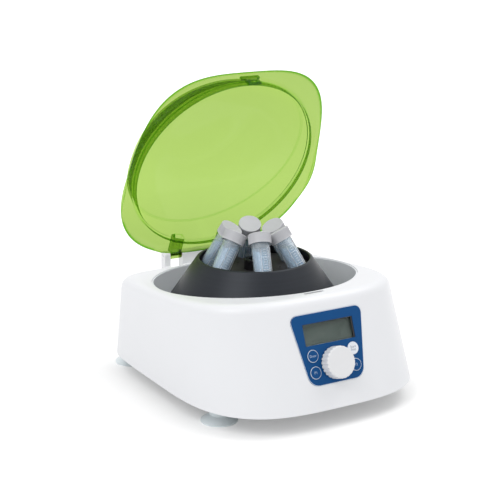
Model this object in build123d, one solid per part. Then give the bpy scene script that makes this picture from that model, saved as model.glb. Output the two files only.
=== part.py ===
from build123d import *
from math import atan, cos, pi, radians, sin, tan
import os

# Benchtop clinical centrifuge with a tinted lid, a conical six-place rotor and a sloping control panel.
# Millimetres. +Z is up, the front with the panel faces -Y, and +X is to the right of a user.
# The origin lies in the plane that the feet stand on, at the middle of the outline seen from above.
# The sizes below are measured from the rotor's axis, which stands AXIS_Y behind the origin.
# The lid is modelled closed in its own frame and shown open, as it stands while tubes are loaded.

AXIS_Y = 12.0

# Casing
SHELL_BOTTOM_Z = 26.0            # underside of the casing, which is also the height of the feet
SHELL_HALF_WIDTH = 167.5         # at the bottom edge
SHELL_FRONT_Y = -220.0
SHELL_REAR_Y = 154.6
SHELL_TOP_HALF_WIDTH = 156.0     # at the plane of the chamber's mouth
SHELL_TOP_FRONT_Y = -170.0
SHELL_TOP_REAR_Y = 150.0
SHELL_FRONT_ROUND = 3.2          # exponent of the outline in front of its middle
SHELL_REAR_ROUND = 6.0           # exponent behind it: a squarer back
SHELL_WALL = 3.0
SHOULDER_RADIUS = 14.0
TOP_TILT = 5.6                   # degrees, the front of the top is higher
MOUTH_Z = 145.6                  # height of the top plane over the rotor's axis

# Chamber
MOUTH_RADIUS = 143.0
COLLAR_WALL = 2.5                # downward collar of the casing round the mouth
COLLAR_DEPTH = 14.0
BOWL_WALL = 2.0
BOWL_FLOOR_Z = 78.0              # upper face of the chamber's floor
BOWL_CORNER_RADIUS = 14.0
BOWL_BELOW_MOUTH = 1.0
BOWL_HOLE_RADIUS = 20.0

# Clearances
FIT_GAP = 0.3                    # between pieces that are put together by hand
RUNNING_GAP = 0.03               # radial, round a turning shaft or pin
LID_GAP = 0.5                    # between the closed lid and the casing

# Lid
HINGE_Y = 166.1
HINGE_Z = 142.1
LID_OPEN_TILT = 64.0             # degrees from level, as the lid stands open
LID_DROP = 12.1                  # rim plane below the hinge axis
LID_HALF_WIDTH = 153.0
LID_HALF_LENGTH = 156.3
LID_MIDDLE = 166.8               # hinge axis to the middle of the rim, along the lid
LID_FRONT_ROUND = 3.4
LID_REAR_ROUND = 2.35
LID_TAPER = 0.10                 # share by which the front of the rim is narrower than its middle
LID_WALL = 2.6
LID_SIDE_DROOP = 10.5            # the rim's sides hang lower than its front and back
LID_SKIRT = 14.0
DRUM_RADIUS = 141.0              # round wall that rises from the lid's corners
DRUM_FOOT_HEIGHT = 6.0
CROWN_RADIUS = 137.0             # circle where the drum turns into the dome
CROWN_HEIGHT = 27.5
CROWN_TILT = 8.0                 # degrees, higher towards the hinge
DOME_RISE = 60.0
DOME_POWER = 4
DOME_ROOT = 3.0
DOME_LEDGE = 0.2                 # step between the drum and the dome, which shows as a line
LID_RIB_RADIUS = 139.0           # ring under the lid that dips into the chamber
LID_RIB_DEPTH = 3.0
LID_RIB_WALL = 2.2

# Lid hinge
PIN_RADIUS = 2.5
EAR_INNER_X = 30.0
EAR_OUTER_X = 48.0
EYE_RADIUS = 6.5
EAR_REACH = 34.0
EAR_THICKNESS = 9.0
KNUCKLE_OUTER_X = 58.0
WASHER_THICKNESS = 1.0
WASHER_GAP = 0.1
BLOCK_FRONT_Y = 148.0            # inside the casing's wall, which is cut out of the block
BLOCK_REAR_Y = 157.5
BLOCK_BOTTOM_Z = 98.0
BLOCK_ARM_HEIGHT = 24.0

# Lid lock
SLOT_Y = -150.0
SLOT_LENGTH = 30.0
SLOT_WIDTH = 6.0
TAB_THICKNESS = 3.0
TAB_TOP_WIDTH = 28.0
TAB_WIDTH = 20.0
TAB_DEPTH = 20.0                 # below the lid's rim plane
TAB_WINDOW_WIDTH = 11.0
TAB_WINDOW_HEIGHT = 7.0
BOLT_WIDTH = 8.0
BOLT_HEIGHT = 4.0
BOLT_LENGTH = 12.0
BOLT_TRAVEL = 5.0
BOLT_BELOW_TOP = 14.0
BOLT_TIP_GAP = 0.5               # tip of the drawn bolt to the slot
SOLENOID_WIDTH = 20.0
SOLENOID_HEIGHT = 14.0
SOLENOID_WALL = 1.0
LID_SWITCH_WIDTH = 14.0
LID_SWITCH_HEIGHT = 9.0
BRACKET_THICKNESS = 2.0

# Rotor and tubes
TUBE_COUNT = 6
FIRST_TUBE_ANGLE = -109.7        # azimuth of tube 1 from +X, degrees
TUBE_LEAN = 32.0                 # degrees from upright, tops towards the axis
CAP_RING_RADIUS = 32.5           # centres of the cap tops
CAP_TOP_Z = 212.0
CAP_RADIUS = 15.8
CAP_HEIGHT = 14.5
CAP_TOP_WALL = 2.0
TUBE_RADIUS = 12.5
TUBE_WALL = 1.2
TUBE_LENGTH = 113.0
TUBE_CONE_LENGTH = 13.0
TUBE_TIP_RADIUS = 3.5
LIQUID_LEVEL = 30.0              # below the top of the cap, along the tube
ROTOR_RIM_RADIUS = 80.0
ROTOR_RIM_Z = 173.0
ROTOR_LIP = 3.5
ROTOR_MAX_RADIUS = 118.0
ROTOR_SHOULDER_Z = 118.0
ROTOR_SKIRT_Z = 106.0
ROTOR_BOTTOM_Z = 94.0
ROTOR_FLOOR_Z = 156.0
ROTOR_FOOT_RADIUS = 108.0
ROTOR_WALL = 8.0                 # level thickness of the rotor's outer shell
MARK_RADIUS = 1.6                # small blind holes between the tubes
MARK_RING = 36.0

# Drive
SHAFT_RADIUS = 6.0
DRIVE_CONE_RADIUS = 9.0
DRIVE_CONE_TOP_RADIUS = 7.0
STUD_RADIUS = 4.0
STUD_TOP_Z = 163.0
NUT_RADIUS = 14.5
NUT_TOP_Z = 170.0
NUT_SOCKET_RADIUS = 8.0
MOTOR_RADIUS = 32.0
MOTOR_BOTTOM_Z = 36.0
MOTOR_TOP_Z = 72.0
MOUNT_RADIUS = 58.0
MOUNT_Z = 46.0
MOUNT_THICKNESS = 3.0
DAMPER_RADIUS = 8.0
DAMPER_RING = 47.0
BEARING_RADIUS = 11.0
BEARING_HEIGHT = 7.0
POST_RING = 110.0
POST_RADIUS = 6.0

# Control panel
PANEL_Z = 118.0                  # height of the display's centre
PANEL_THICKNESS = 1.4
PANEL_PROUD = 0.4
PANEL_REACH = 40.0               # depth of the cuts that make the panel's openings
PANEL_TOP_V = 27.0               # up the slope from the display's centre
PANEL_BOTTOM_V = -66.0
PANEL_TOP_HALF_WIDTH = 56.0
PANEL_BOTTOM_HALF_WIDTH = 41.0
PANEL_TOP_CORNER = 10.0
PANEL_BOTTOM_CORNER = 16.0
WINDOW_WIDTH = 76.6
WINDOW_HEIGHT = 27.8
WINDOW_THICKNESS = 1.6
DISPLAY_DEPTH = 4.6              # face of the display module below the casing's surface
DISPLAY_THICKNESS = 6.0
DISPLAY_BORDER = 5.0
BOARD_THICKNESS = 1.6
KNOB_V = -40.7
KNOB_RADIUS = 21.0
KNOB_HEIGHT = 15.0
KNOB_STANDOFF = 1.6
KNOB_SCALLOPS = 24
KNOB_SCALLOP_RADIUS = 1.5
ENCODER_SHAFT_RADIUS = 3.0
BUSHING_RADIUS = 4.5
KEY_X = 31.0
KEY_UPPER_V = -27.2
KEY_LOWER_V = -48.6
KEY_RADIUS = 8.2
KEY_PROUD = 1.0
KEY_TRAVEL = 0.5
SWITCH_SIZE = 6.0
SWITCH_HEIGHT = 3.6

# Feet
FOOT_X = 126.4
FOOT_FRONT_Y = -122.7
FOOT_REAR_Y = 135.3
FOOT_CUP_RADIUS = 24.5
FOOT_STEM_RADIUS = 13.0
FOOT_CUP_HEIGHT = 9.0
FOOT_SCREW_RADIUS = 2.5

# Underside
PLATE_THICKNESS = 2.5
SCREW_RADIUS = 1.75
SCREW_HEAD_RADIUS = 3.5
SCREW_HEAD_HEIGHT = 2.2
BOSS_RADIUS = 6.5
BOSS_TOP_Z = 80.0
BOSS_FROM_SIDE = 11.0
BOSS_SIDE_Y = (-40.0, 70.0)
BOSS_END_PLACES = ((80.0, -190.0), (86.0, 145.0))
SCREW_LENGTH = 28.0
VENT_COUNT = 7
VENT_PITCH = 9.0
VENT_LENGTH = 46.0
VENT_WIDTH = 3.5
VENT_X = 70.0
VENT_Y = -95.0

# Electronics on the underside plate
POWER_BOARD_X = (52.0, 128.0)
POWER_BOARD_Y = (30.0, 100.0)
SPACER_HEIGHT = 6.0
SPACER_RADIUS = 3.5
SPACER_INSET = 6.0
TRANSFORMER_X = (88.0, 122.0)
TRANSFORMER_Y = (42.0, 80.0)
TRANSFORMER_HEIGHT = 28.0
CONTROLLER_X = (-128.0, -62.0)
CONTROLLER_Y = (20.0, 90.0)
CONTROLLER_HEIGHT = 14.0
SENSOR_WIDTH = 18.0
SENSOR_LENGTH = 12.0
SENSOR_HEIGHT = 6.0

# Mains entry, on the back
INLET_X = 62.0
INLET_Z = 62.0
INLET_WIDTH = 28.0
INLET_HEIGHT = 20.0
INLET_DEPTH = 20.0
SOCKET_DEPTH = 16.0
SOCKET_WALL = 2.0
PIN_PLACES = ((-7.0, -3.5), (0.0, -1.0), (7.0, -3.5))
SWITCH_X = 105.0
ROCKER_WIDTH = 11.0
ROCKER_HEIGHT = 20.0
ROCKER_SWING = 16.0
ROCKER_GAP = 0.4
ROCKER_WELL = 12.0
ROCKER_PIVOT_DEPTH = 5.0
ROCKER_CREST = 3.0               # pivot to the crest of the paddle
ROCKER_TAIL = 5.5
FLANGE_RIM = 4.0
FLANGE_THICKNESS = 2.0

OUTLINE_POINTS = 36              # points of each rounded outline

tilt = radians(TOP_TILT)
plate_top_z = SHELL_BOTTOM_Z + PLATE_THICKNESS


def top_z(y, below=0.0):
    """Height of the tilted top plane at y, or of a plane so far below it."""
    return MOUTH_Z - y * tan(tilt) - below / cos(tilt)


def rounded_outline(half_width, half_length, front_round, rear_round, taper=0.0):
    """Points of an outline whose front and back halves have their own roundness."""
    points = []
    for i in range(OUTLINE_POINTS):
        angle = 2 * pi * i / OUTLINE_POINTS
        c, s = cos(angle), sin(angle)
        power = rear_round if s > 0 else front_round
        reach = (abs(c) ** power + abs(s) ** power) ** (-1 / power)
        x, y = reach * c, reach * s
        points.append((half_width * x * (1 + taper * y), half_length * y))
    return points


def outline_face(points):
    """Flat face inside a closed smooth curve through 3-D points."""
    return make_face(Spline(*[Vector(*p) for p in points], periodic=True))


def casing_volume(inset=0.0):
    """The casing's outer form, or the same form drawn in all round by inset."""
    sections = []
    for half_width, front, rear, top in (
        (SHELL_HALF_WIDTH, SHELL_FRONT_Y, SHELL_REAR_Y, False),
        (SHELL_TOP_HALF_WIDTH, SHELL_TOP_FRONT_Y, SHELL_TOP_REAR_Y, True),
    ):
        middle = (front + rear) / 2
        flat = rounded_outline(half_width - inset, (rear - front) / 2 - inset,
                               SHELL_FRONT_ROUND, SHELL_REAR_ROUND)
        sections.append(outline_face([
            (x, middle + y, top_z(middle + y, inset) if top else SHELL_BOTTOM_Z) for x, y in flat
        ]))
    block = loft(sections, ruled=True)
    rim = block.edges().sort_by(Axis.Z)[-1]
    return fillet(rim, SHOULDER_RADIUS - inset)


def ring(outer, inner, bottom, top):
    """Upright tube about the Z axis."""
    height = top - bottom
    return Pos(0, 0, (bottom + top) / 2) * (Cylinder(outer, height) - Cylinder(inner, height))


def rod(radius, bottom, top):
    """Upright round bar about the Z axis."""
    return Pos(0, 0, (bottom + top) / 2) * Cylinder(radius, top - bottom)


def block(x, y, z):
    """Box between pairs of limits."""
    return Pos(sum(x) / 2, sum(y) / 2, sum(z) / 2) * Box(x[1] - x[0], y[1] - y[0], z[1] - z[0])


def turned(profile):
    """Body of revolution about Z from (radius, z) corners."""
    face = make_face(Polyline(*[(r, 0, z) for r, z in profile], close=True))
    return revolve(face, Axis.Z)


os.makedirs("parts", exist_ok=True)
written = []


def save(node, shape):
    """Write one sub-part under its own name, moved from the rotor's axis to the origin."""
    export_step(Pos(0, AXIS_Y, 0) * shape, f"parts/{node}.step")
    written.append(node)


casing = casing_volume()
cavity = casing_volume(SHELL_WALL)

# Control panel frame: x to the right, v up the slope, n out of the face
front_slope = atan((SHELL_TOP_FRONT_Y - SHELL_FRONT_Y) / (top_z(SHELL_TOP_FRONT_Y) - SHELL_BOTTOM_Z))
panel_y = SHELL_FRONT_Y + (PANEL_Z - SHELL_BOTTOM_Z) * tan(front_slope)
panel_plane = Plane(
    origin=(0, panel_y, PANEL_Z),
    x_dir=(1, 0, 0),
    z_dir=(0, -cos(front_slope), sin(front_slope)),
)


def on_panel(shape, x=0.0, v=0.0, n=0.0):
    """Put a shape made about the origin onto the panel's frame."""
    return panel_plane.location * Pos(x, v, n) * shape


def panel_prism(margin=0.0):
    """Trapezoid with rounded corners, grown by margin, that passes through the casing's front."""
    top = PANEL_TOP_V + margin
    bottom = PANEL_BOTTOM_V - margin
    corners = [
        (-PANEL_TOP_HALF_WIDTH - margin, top),
        (PANEL_TOP_HALF_WIDTH + margin, top),
        (PANEL_BOTTOM_HALF_WIDTH + margin, bottom),
        (-PANEL_BOTTOM_HALF_WIDTH - margin, bottom),
    ]
    face = make_face(Polyline(*corners, close=True))
    face = fillet(face.vertices().sort_by(Axis.Y)[-2:], PANEL_TOP_CORNER + margin)
    face = fillet(face.vertices().sort_by(Axis.Y)[:2], PANEL_BOTTOM_CORNER + margin)
    return on_panel(extrude(face, PANEL_REACH), n=-PANEL_REACH / 2)


key_places = {
    "key_open_lid": (-KEY_X, KEY_UPPER_V),
    "key_preset_one": (-KEY_X, KEY_LOWER_V),
    "key_start_stop": (KEY_X, KEY_UPPER_V),
    "key_preset_two": (KEY_X, KEY_LOWER_V),
}
board_n = -DISPLAY_DEPTH - DISPLAY_THICKNESS

# Openings that pass through the panel and the casing's front wall
panel_holes = on_panel(Box(WINDOW_WIDTH, WINDOW_HEIGHT, PANEL_REACH))
panel_holes += on_panel(Cylinder(BUSHING_RADIUS + FIT_GAP, PANEL_REACH), v=KNOB_V)
for key_x, key_v in key_places.values():
    panel_holes += on_panel(Cylinder(KEY_RADIUS + FIT_GAP, PANEL_REACH), key_x, key_v)

# Casing shell: one moulding, open below, with a collar round the chamber's mouth
mouth_low_z = top_z(MOUTH_RADIUS) - COLLAR_DEPTH
mouth_high_z = top_z(-MOUTH_RADIUS) + 10
shell = casing - cavity - rod(MOUTH_RADIUS, SHELL_BOTTOM_Z, mouth_high_z)
collar = ring(MOUTH_RADIUS + COLLAR_WALL, MOUTH_RADIUS, mouth_low_z, mouth_high_z)
shell += collar & casing_volume(SHELL_WALL / 2)
panel_skin = casing - casing_volume(PANEL_THICKNESS)
shell -= panel_prism(FIT_GAP / 2) & panel_skin
shell -= panel_holes
slot_z = top_z(SLOT_Y)
shell -= Pos(0, SLOT_Y, slot_z) * Box(SLOT_LENGTH, SLOT_WIDTH, 4 * SHELL_WALL)

# Bosses for the underside screws stand against the walls
side_places = [(SHELL_HALF_WIDTH - BOSS_FROM_SIDE, y) for y in BOSS_SIDE_Y]
boss_places = [(side * x, y) for side in (-1, 1) for x, y in [*side_places, *BOSS_END_PLACES]]
bosses = [Pos(x, y) * rod(BOSS_RADIUS, plate_top_z, BOSS_TOP_Z) for x, y in boss_places]
screw_top_z = SHELL_BOTTOM_Z + SCREW_LENGTH
for boss in bosses:
    shell += boss & casing_volume(SHELL_WALL / 2)
for x, y in boss_places:
    shell -= Pos(x, y) * rod(SCREW_RADIUS + RUNNING_GAP, SHELL_BOTTOM_Z, screw_top_z)

# Cut-outs of the mains entry in the back wall
rear_cut_depth = 60.0
inlet_cut = Pos(INLET_X, SHELL_REAR_Y, INLET_Z) * Box(INLET_WIDTH, rear_cut_depth, INLET_HEIGHT)
switch_body_width = ROCKER_WIDTH + 2 * SOCKET_WALL
switch_body_height = ROCKER_HEIGHT + 2 * SOCKET_WALL
switch_cut = Pos(SWITCH_X, SHELL_REAR_Y, INLET_Z) * Box(switch_body_width, rear_cut_depth, switch_body_height)
shell -= inlet_cut
shell -= switch_cut
save("casing_shell", shell)

# Underside plate with vents, carried by the boss screws
plate = casing_volume(SHELL_WALL + FIT_GAP) & block((-200, 200), (-250, 200), (SHELL_BOTTOM_Z, plate_top_z))
foot_places = {
    "foot_front_left": (-FOOT_X, FOOT_FRONT_Y),
    "foot_front_right": (FOOT_X, FOOT_FRONT_Y),
    "foot_rear_left": (-FOOT_X, FOOT_REAR_Y),
    "foot_rear_right": (FOOT_X, FOOT_REAR_Y),
}
for x, y in boss_places:
    plate -= Pos(x, y) * rod(SCREW_RADIUS + RUNNING_GAP, SHELL_BOTTOM_Z, plate_top_z)
for x, y in foot_places.values():
    plate -= Pos(x, y) * rod(FOOT_SCREW_RADIUS + FIT_GAP, SHELL_BOTTOM_Z, plate_top_z)
vent = Box(VENT_WIDTH, VENT_LENGTH, PLATE_THICKNESS)
for side in (-1, 1):
    for i in range(VENT_COUNT):
        x = side * VENT_X + (i - (VENT_COUNT - 1) / 2) * VENT_PITCH
        plate -= Pos(x, VENT_Y, SHELL_BOTTOM_Z + PLATE_THICKNESS / 2) * vent
board_z = plate_top_z + SPACER_HEIGHT
for x in (POWER_BOARD_X[0] + SPACER_INSET, POWER_BOARD_X[1] - SPACER_INSET):
    for y in (POWER_BOARD_Y[0] + SPACER_INSET, POWER_BOARD_Y[1] - SPACER_INSET):
        plate += Pos(x, y) * rod(SPACER_RADIUS, plate_top_z, board_z)
save("underside_plate", plate)

# Suction feet, and the underside screws: one in each boss and one in each foot
screws = []
for x, y in boss_places:
    head = rod(SCREW_HEAD_RADIUS, SHELL_BOTTOM_Z - SCREW_HEAD_HEIGHT, SHELL_BOTTOM_Z)
    screws.append(Pos(x, y) * (rod(SCREW_RADIUS, SHELL_BOTTOM_Z, screw_top_z - 1) + head))
screw_in_foot_z = 12.0
foot_profile = [
    (0, 4.0), (FOOT_CUP_RADIUS - 8, 2.4), (FOOT_CUP_RADIUS - 3.5, 0), (FOOT_CUP_RADIUS, 0),
    (FOOT_CUP_RADIUS, 1.8), (FOOT_STEM_RADIUS + 5, FOOT_CUP_HEIGHT - 3), (FOOT_STEM_RADIUS, FOOT_CUP_HEIGHT),
    (FOOT_STEM_RADIUS, SHELL_BOTTOM_Z), (0, SHELL_BOTTOM_Z),
]
foot = turned(foot_profile) - rod(FOOT_SCREW_RADIUS + RUNNING_GAP, screw_in_foot_z - 1, SHELL_BOTTOM_Z)
for node, (x, y) in foot_places.items():
    save(node, Pos(x, y) * foot)

foot_screw = rod(FOOT_SCREW_RADIUS, screw_in_foot_z, plate_top_z)
foot_screw += rod(2 * FOOT_SCREW_RADIUS, plate_top_z, plate_top_z + 3)
screws += [Pos(x, y) * foot_screw for x, y in foot_places.values()]
save("underside_screws", Compound(screws))

# Chamber bowl: a smooth drawn bowl that stands on posts, its edge inside the casing's collar
bowl_outer = MOUTH_RADIUS - FIT_GAP
bowl_inner = bowl_outer - BOWL_WALL


def bowl_form(radius, floor_z, corner):
    """Solid cup form: a round bar with its lower edge rounded."""
    bar = rod(radius, floor_z, mouth_high_z)
    return fillet(bar.edges().sort_by(Axis.Z)[0], corner)


bowl = bowl_form(bowl_outer, BOWL_FLOOR_Z - BOWL_WALL, BOWL_CORNER_RADIUS + BOWL_WALL)
bowl -= bowl_form(bowl_inner, BOWL_FLOOR_Z, BOWL_CORNER_RADIUS)
bowl_top = Pos(0, 0, MOUTH_Z - BOWL_BELOW_MOUTH) * Rot(X=-TOP_TILT) * Pos(0, 0, 50) * Box(400, 400, 100)
bowl -= bowl_top
bowl -= rod(BOWL_HOLE_RADIUS, 0, 200)
post_angles = (0, 90, 180, 270)
post_spots = [(POST_RING * cos(radians(a)), POST_RING * sin(radians(a))) for a in post_angles]
for x, y in post_spots:
    bowl -= Pos(x, y) * rod(SCREW_RADIUS + RUNNING_GAP, BOWL_FLOOR_Z - BOWL_WALL, BOWL_FLOOR_Z)
save("chamber_bowl", bowl)

# Posts that carry the bowl, and the screws that hold it
post_top_z = BOWL_FLOOR_Z - BOWL_WALL
post = rod(POST_RADIUS, plate_top_z, post_top_z) - rod(SCREW_RADIUS + RUNNING_GAP, post_top_z - 13, post_top_z)
save("bowl_posts", Compound([Pos(x, y) * post for x, y in post_spots]))
bowl_screw = rod(SCREW_RADIUS, post_top_z - 12, BOWL_FLOOR_Z)
bowl_screw += rod(SCREW_HEAD_RADIUS, BOWL_FLOOR_Z, BOWL_FLOOR_Z + SCREW_HEAD_HEIGHT)
save("bowl_screws", Compound([Pos(x, y) * bowl_screw for x, y in post_spots]))

# Motor, its plate on rubber dampers, and the seal where the shaft enters the chamber
mount_top_z = MOUNT_Z + MOUNT_THICKNESS
motor_neck_radius = BEARING_RADIUS + 3
motor_neck_z = MOTOR_TOP_Z + BEARING_HEIGHT
motor = rod(MOTOR_RADIUS, MOTOR_BOTTOM_Z, MOTOR_TOP_Z) + rod(motor_neck_radius, MOTOR_TOP_Z, motor_neck_z)
motor -= rod(BEARING_RADIUS + RUNNING_GAP, MOTOR_TOP_Z, motor_neck_z)
motor -= rod(SHAFT_RADIUS + 2, MOTOR_BOTTOM_Z + 4, motor_neck_z)
save("motor_housing", motor)
mount = rod(MOUNT_RADIUS, MOUNT_Z, mount_top_z) - rod(MOTOR_RADIUS + FIT_GAP, MOUNT_Z, mount_top_z)
damper_angles = (90, 210, 330)
damper_spots = [(DAMPER_RING * cos(radians(a)), DAMPER_RING * sin(radians(a))) for a in damper_angles]
save("motor_mount_plate", mount)
damper_waist = 2.0
damper_profile = [
    (0, plate_top_z), (DAMPER_RADIUS, plate_top_z), (DAMPER_RADIUS - damper_waist, (plate_top_z + MOUNT_Z) / 2),
    (DAMPER_RADIUS, MOUNT_Z), (0, MOUNT_Z),
]
save("motor_dampers", Compound([Pos(x, y) * turned(damper_profile) for x, y in damper_spots]))
save("motor_bearing", ring(BEARING_RADIUS, SHAFT_RADIUS + RUNNING_GAP, MOTOR_TOP_Z, motor_neck_z))
seal_inner = motor_neck_radius + FIT_GAP
seal = ring(BOWL_HOLE_RADIUS + 4, seal_inner, BOWL_FLOOR_Z, BOWL_FLOOR_Z + 2)
seal += ring(BOWL_HOLE_RADIUS - FIT_GAP, seal_inner, BOWL_FLOOR_Z - BOWL_WALL, BOWL_FLOOR_Z)
save("chamber_seal", seal)

# Shaft with the drive cone and the stud that the rotor nut screws on
cone_bottom_z = ROTOR_BOTTOM_Z + 2
cone_top_z = cone_bottom_z + 24
shaft_profile = [
    (0, MOTOR_BOTTOM_Z + 6), (SHAFT_RADIUS, MOTOR_BOTTOM_Z + 6), (SHAFT_RADIUS, cone_bottom_z - 6),
    (DRIVE_CONE_RADIUS + 3, cone_bottom_z - 6), (DRIVE_CONE_RADIUS + 3, cone_bottom_z - 2.2),
    (DRIVE_CONE_RADIUS, cone_bottom_z - 2.2), (DRIVE_CONE_RADIUS, cone_bottom_z),
    (DRIVE_CONE_TOP_RADIUS, cone_top_z), (STUD_RADIUS, cone_top_z), (STUD_RADIUS, STUD_TOP_Z), (0, STUD_TOP_Z),
]
save("motor_shaft", turned(shaft_profile))

# Rotor: a cone-shaped outer shell with a lip, round a core with a leaning pocket for each tube
cone_slope = (ROTOR_MAX_RADIUS - ROTOR_RIM_RADIUS) / (ROTOR_RIM_Z - ROTOR_SHOULDER_Z)
lip_inner = ROTOR_RIM_RADIUS - ROTOR_LIP
core_top_radius = ROTOR_RIM_RADIUS + cone_slope * (ROTOR_RIM_Z - ROTOR_FLOOR_Z) - ROTOR_WALL
core_side = [
    (core_top_radius, ROTOR_FLOOR_Z), (ROTOR_MAX_RADIUS - ROTOR_WALL, ROTOR_SHOULDER_Z),
    (ROTOR_FOOT_RADIUS - ROTOR_WALL, ROTOR_BOTTOM_Z),
]
rotor_shell_profile = [
    *reversed(core_side),
    (lip_inner, ROTOR_RIM_Z - 1), (lip_inner + 1, ROTOR_RIM_Z), (ROTOR_RIM_RADIUS - 1, ROTOR_RIM_Z),
    (ROTOR_RIM_RADIUS + cone_slope, ROTOR_RIM_Z - 1),
    (ROTOR_MAX_RADIUS, ROTOR_SHOULDER_Z), (ROTOR_MAX_RADIUS, ROTOR_SKIRT_Z), (ROTOR_FOOT_RADIUS, ROTOR_BOTTOM_Z),
]
save("rotor_body", turned(rotor_shell_profile))
core_profile = [
    (STUD_RADIUS + FIT_GAP, ROTOR_FLOOR_Z), *core_side, (DRIVE_CONE_RADIUS + FIT_GAP, ROTOR_BOTTOM_Z),
    (DRIVE_CONE_RADIUS + FIT_GAP, cone_bottom_z), (DRIVE_CONE_TOP_RADIUS + FIT_GAP, cone_top_z + FIT_GAP),
    (STUD_RADIUS + FIT_GAP, cone_top_z + FIT_GAP),
]
core = turned(core_profile)
tube_angles = [FIRST_TUBE_ANGLE + 360 / TUBE_COUNT * i for i in range(TUBE_COUNT)]


def at_tube(shape, angle):
    """Put a shape made about a tube's own axis, cap top at the origin, into its place."""
    return Rot(Z=angle) * Pos(CAP_RING_RADIUS, 0, CAP_TOP_Z) * Rot(Y=-TUBE_LEAN) * shape


pocket_gap = 0.4


def tube_form(inset, top, foot=0.0):
    """Solid form of a conical-bottom tube, drawn in by inset, up to depth top."""
    radius = TUBE_RADIUS - inset
    tip = TUBE_TIP_RADIUS - inset / 2
    bottom = -TUBE_LENGTH + foot
    return turned([(0, top), (radius, top), (radius, bottom + TUBE_CONE_LENGTH), (tip, bottom), (0, bottom)])


pocket_top = 10.0
for angle in tube_angles:
    core -= at_tube(tube_form(-pocket_gap, pocket_top, -FIT_GAP), angle)
for angle in tube_angles:
    mark_angle = radians(angle + 180 / TUBE_COUNT)
    spot = Pos(MARK_RING * cos(mark_angle), MARK_RING * sin(mark_angle))
    core -= spot * rod(MARK_RADIUS, ROTOR_FLOOR_Z - 3, ROTOR_FLOOR_Z)
save("rotor_core", core)

# Rotor nut on the stud, with a socket in its top
nut = ring(NUT_RADIUS, STUD_RADIUS + RUNNING_GAP, ROTOR_FLOOR_Z, NUT_TOP_Z)
nut -= rod(NUT_SOCKET_RADIUS, STUD_TOP_Z, NUT_TOP_Z)
nut = chamfer(nut.edges().filter_by(GeomType.CIRCLE).sort_by(Axis.Z).sort_by(SortBy.RADIUS)[-1], 0.8)
save("rotor_nut", nut)

# Tubes, caps and what is in the tubes
tube_mouth = -CAP_TOP_WALL
tube = tube_form(0, tube_mouth) - tube_form(TUBE_WALL, tube_mouth, TUBE_WALL)
cap_bore = TUBE_RADIUS + FIT_GAP
cap = rod(CAP_RADIUS, -CAP_HEIGHT, 0) - rod(cap_bore, -CAP_HEIGHT, -CAP_TOP_WALL)
liquid = tube_form(TUBE_WALL + 0.05, -LIQUID_LEVEL, TUBE_WALL + 0.05)
for i, angle in enumerate(tube_angles, 1):
    save(f"tube_{i}", at_tube(tube, angle))
    save(f"tube_cap_{i}", at_tube(cap, angle))
save("tube_contents", Compound([at_tube(liquid, angle) for angle in tube_angles]))

# Control panel overlay, flush in its recess and a little proud of the casing
overlay = panel_prism() & (casing_volume(-PANEL_PROUD) - casing_volume(PANEL_THICKNESS))
overlay -= panel_holes
save("control_panel", overlay)

# Display window and module
window = Box(WINDOW_WIDTH - 2 * FIT_GAP, WINDOW_HEIGHT - 2 * FIT_GAP, WINDOW_THICKNESS)
save("display_window", on_panel(window, n=-DISPLAY_DEPTH + WINDOW_THICKNESS / 2))
module_width = WINDOW_WIDTH + 2 * DISPLAY_BORDER
module_height = WINDOW_HEIGHT + DISPLAY_BORDER
module = Box(module_width, module_height, DISPLAY_THICKNESS)
save("display_module", on_panel(module, n=-DISPLAY_DEPTH - DISPLAY_THICKNESS / 2))

# Control board behind them
board_top = module_height / 2 + 2
board_bottom = KEY_LOWER_V - 9
board = Box(module_width, board_top - board_bottom, BOARD_THICKNESS)
save("control_board", on_panel(board, v=(board_top + board_bottom) / 2, n=board_n - BOARD_THICKNESS / 2))

# Key switches on the board, and the keys over them
switches = [
    on_panel(Box(SWITCH_SIZE, SWITCH_SIZE, SWITCH_HEIGHT), x, v, board_n + SWITCH_HEIGHT / 2)
    for x, v in key_places.values()
]
save("key_switches", Compound(switches))
key_back = board_n + SWITCH_HEIGHT + FIT_GAP + KEY_TRAVEL
key = Pos(0, 0, (key_back + KEY_PROUD) / 2) * Cylinder(KEY_RADIUS, KEY_PROUD - key_back)
key = chamfer(key.edges().sort_by(Axis.Z)[-1], 0.4)
for node, (x, v) in key_places.items():
    save(node, on_panel(key, x, v))

# Rotary encoder: fixed body with a threaded bushing, turning shaft
encoder_front = -DISPLAY_DEPTH - 0.8
bushing_end = KNOB_STANDOFF - 0.8
encoder = block((-7, 7), (-6.5, 6.5), (board_n, encoder_front))
encoder += rod(BUSHING_RADIUS, encoder_front, bushing_end)
encoder -= rod(ENCODER_SHAFT_RADIUS + RUNNING_GAP, board_n + 1.5, bushing_end)
save("encoder_body", on_panel(encoder, v=KNOB_V))
shaft_end = KNOB_STANDOFF + KNOB_HEIGHT - 4
encoder_shaft = rod(ENCODER_SHAFT_RADIUS, board_n + 2, shaft_end)
encoder_shaft -= block((-4, 4), (ENCODER_SHAFT_RADIUS - 1, 4), (bushing_end + 1, shaft_end))
save("encoder_shaft", on_panel(encoder_shaft, v=KNOB_V))

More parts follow.
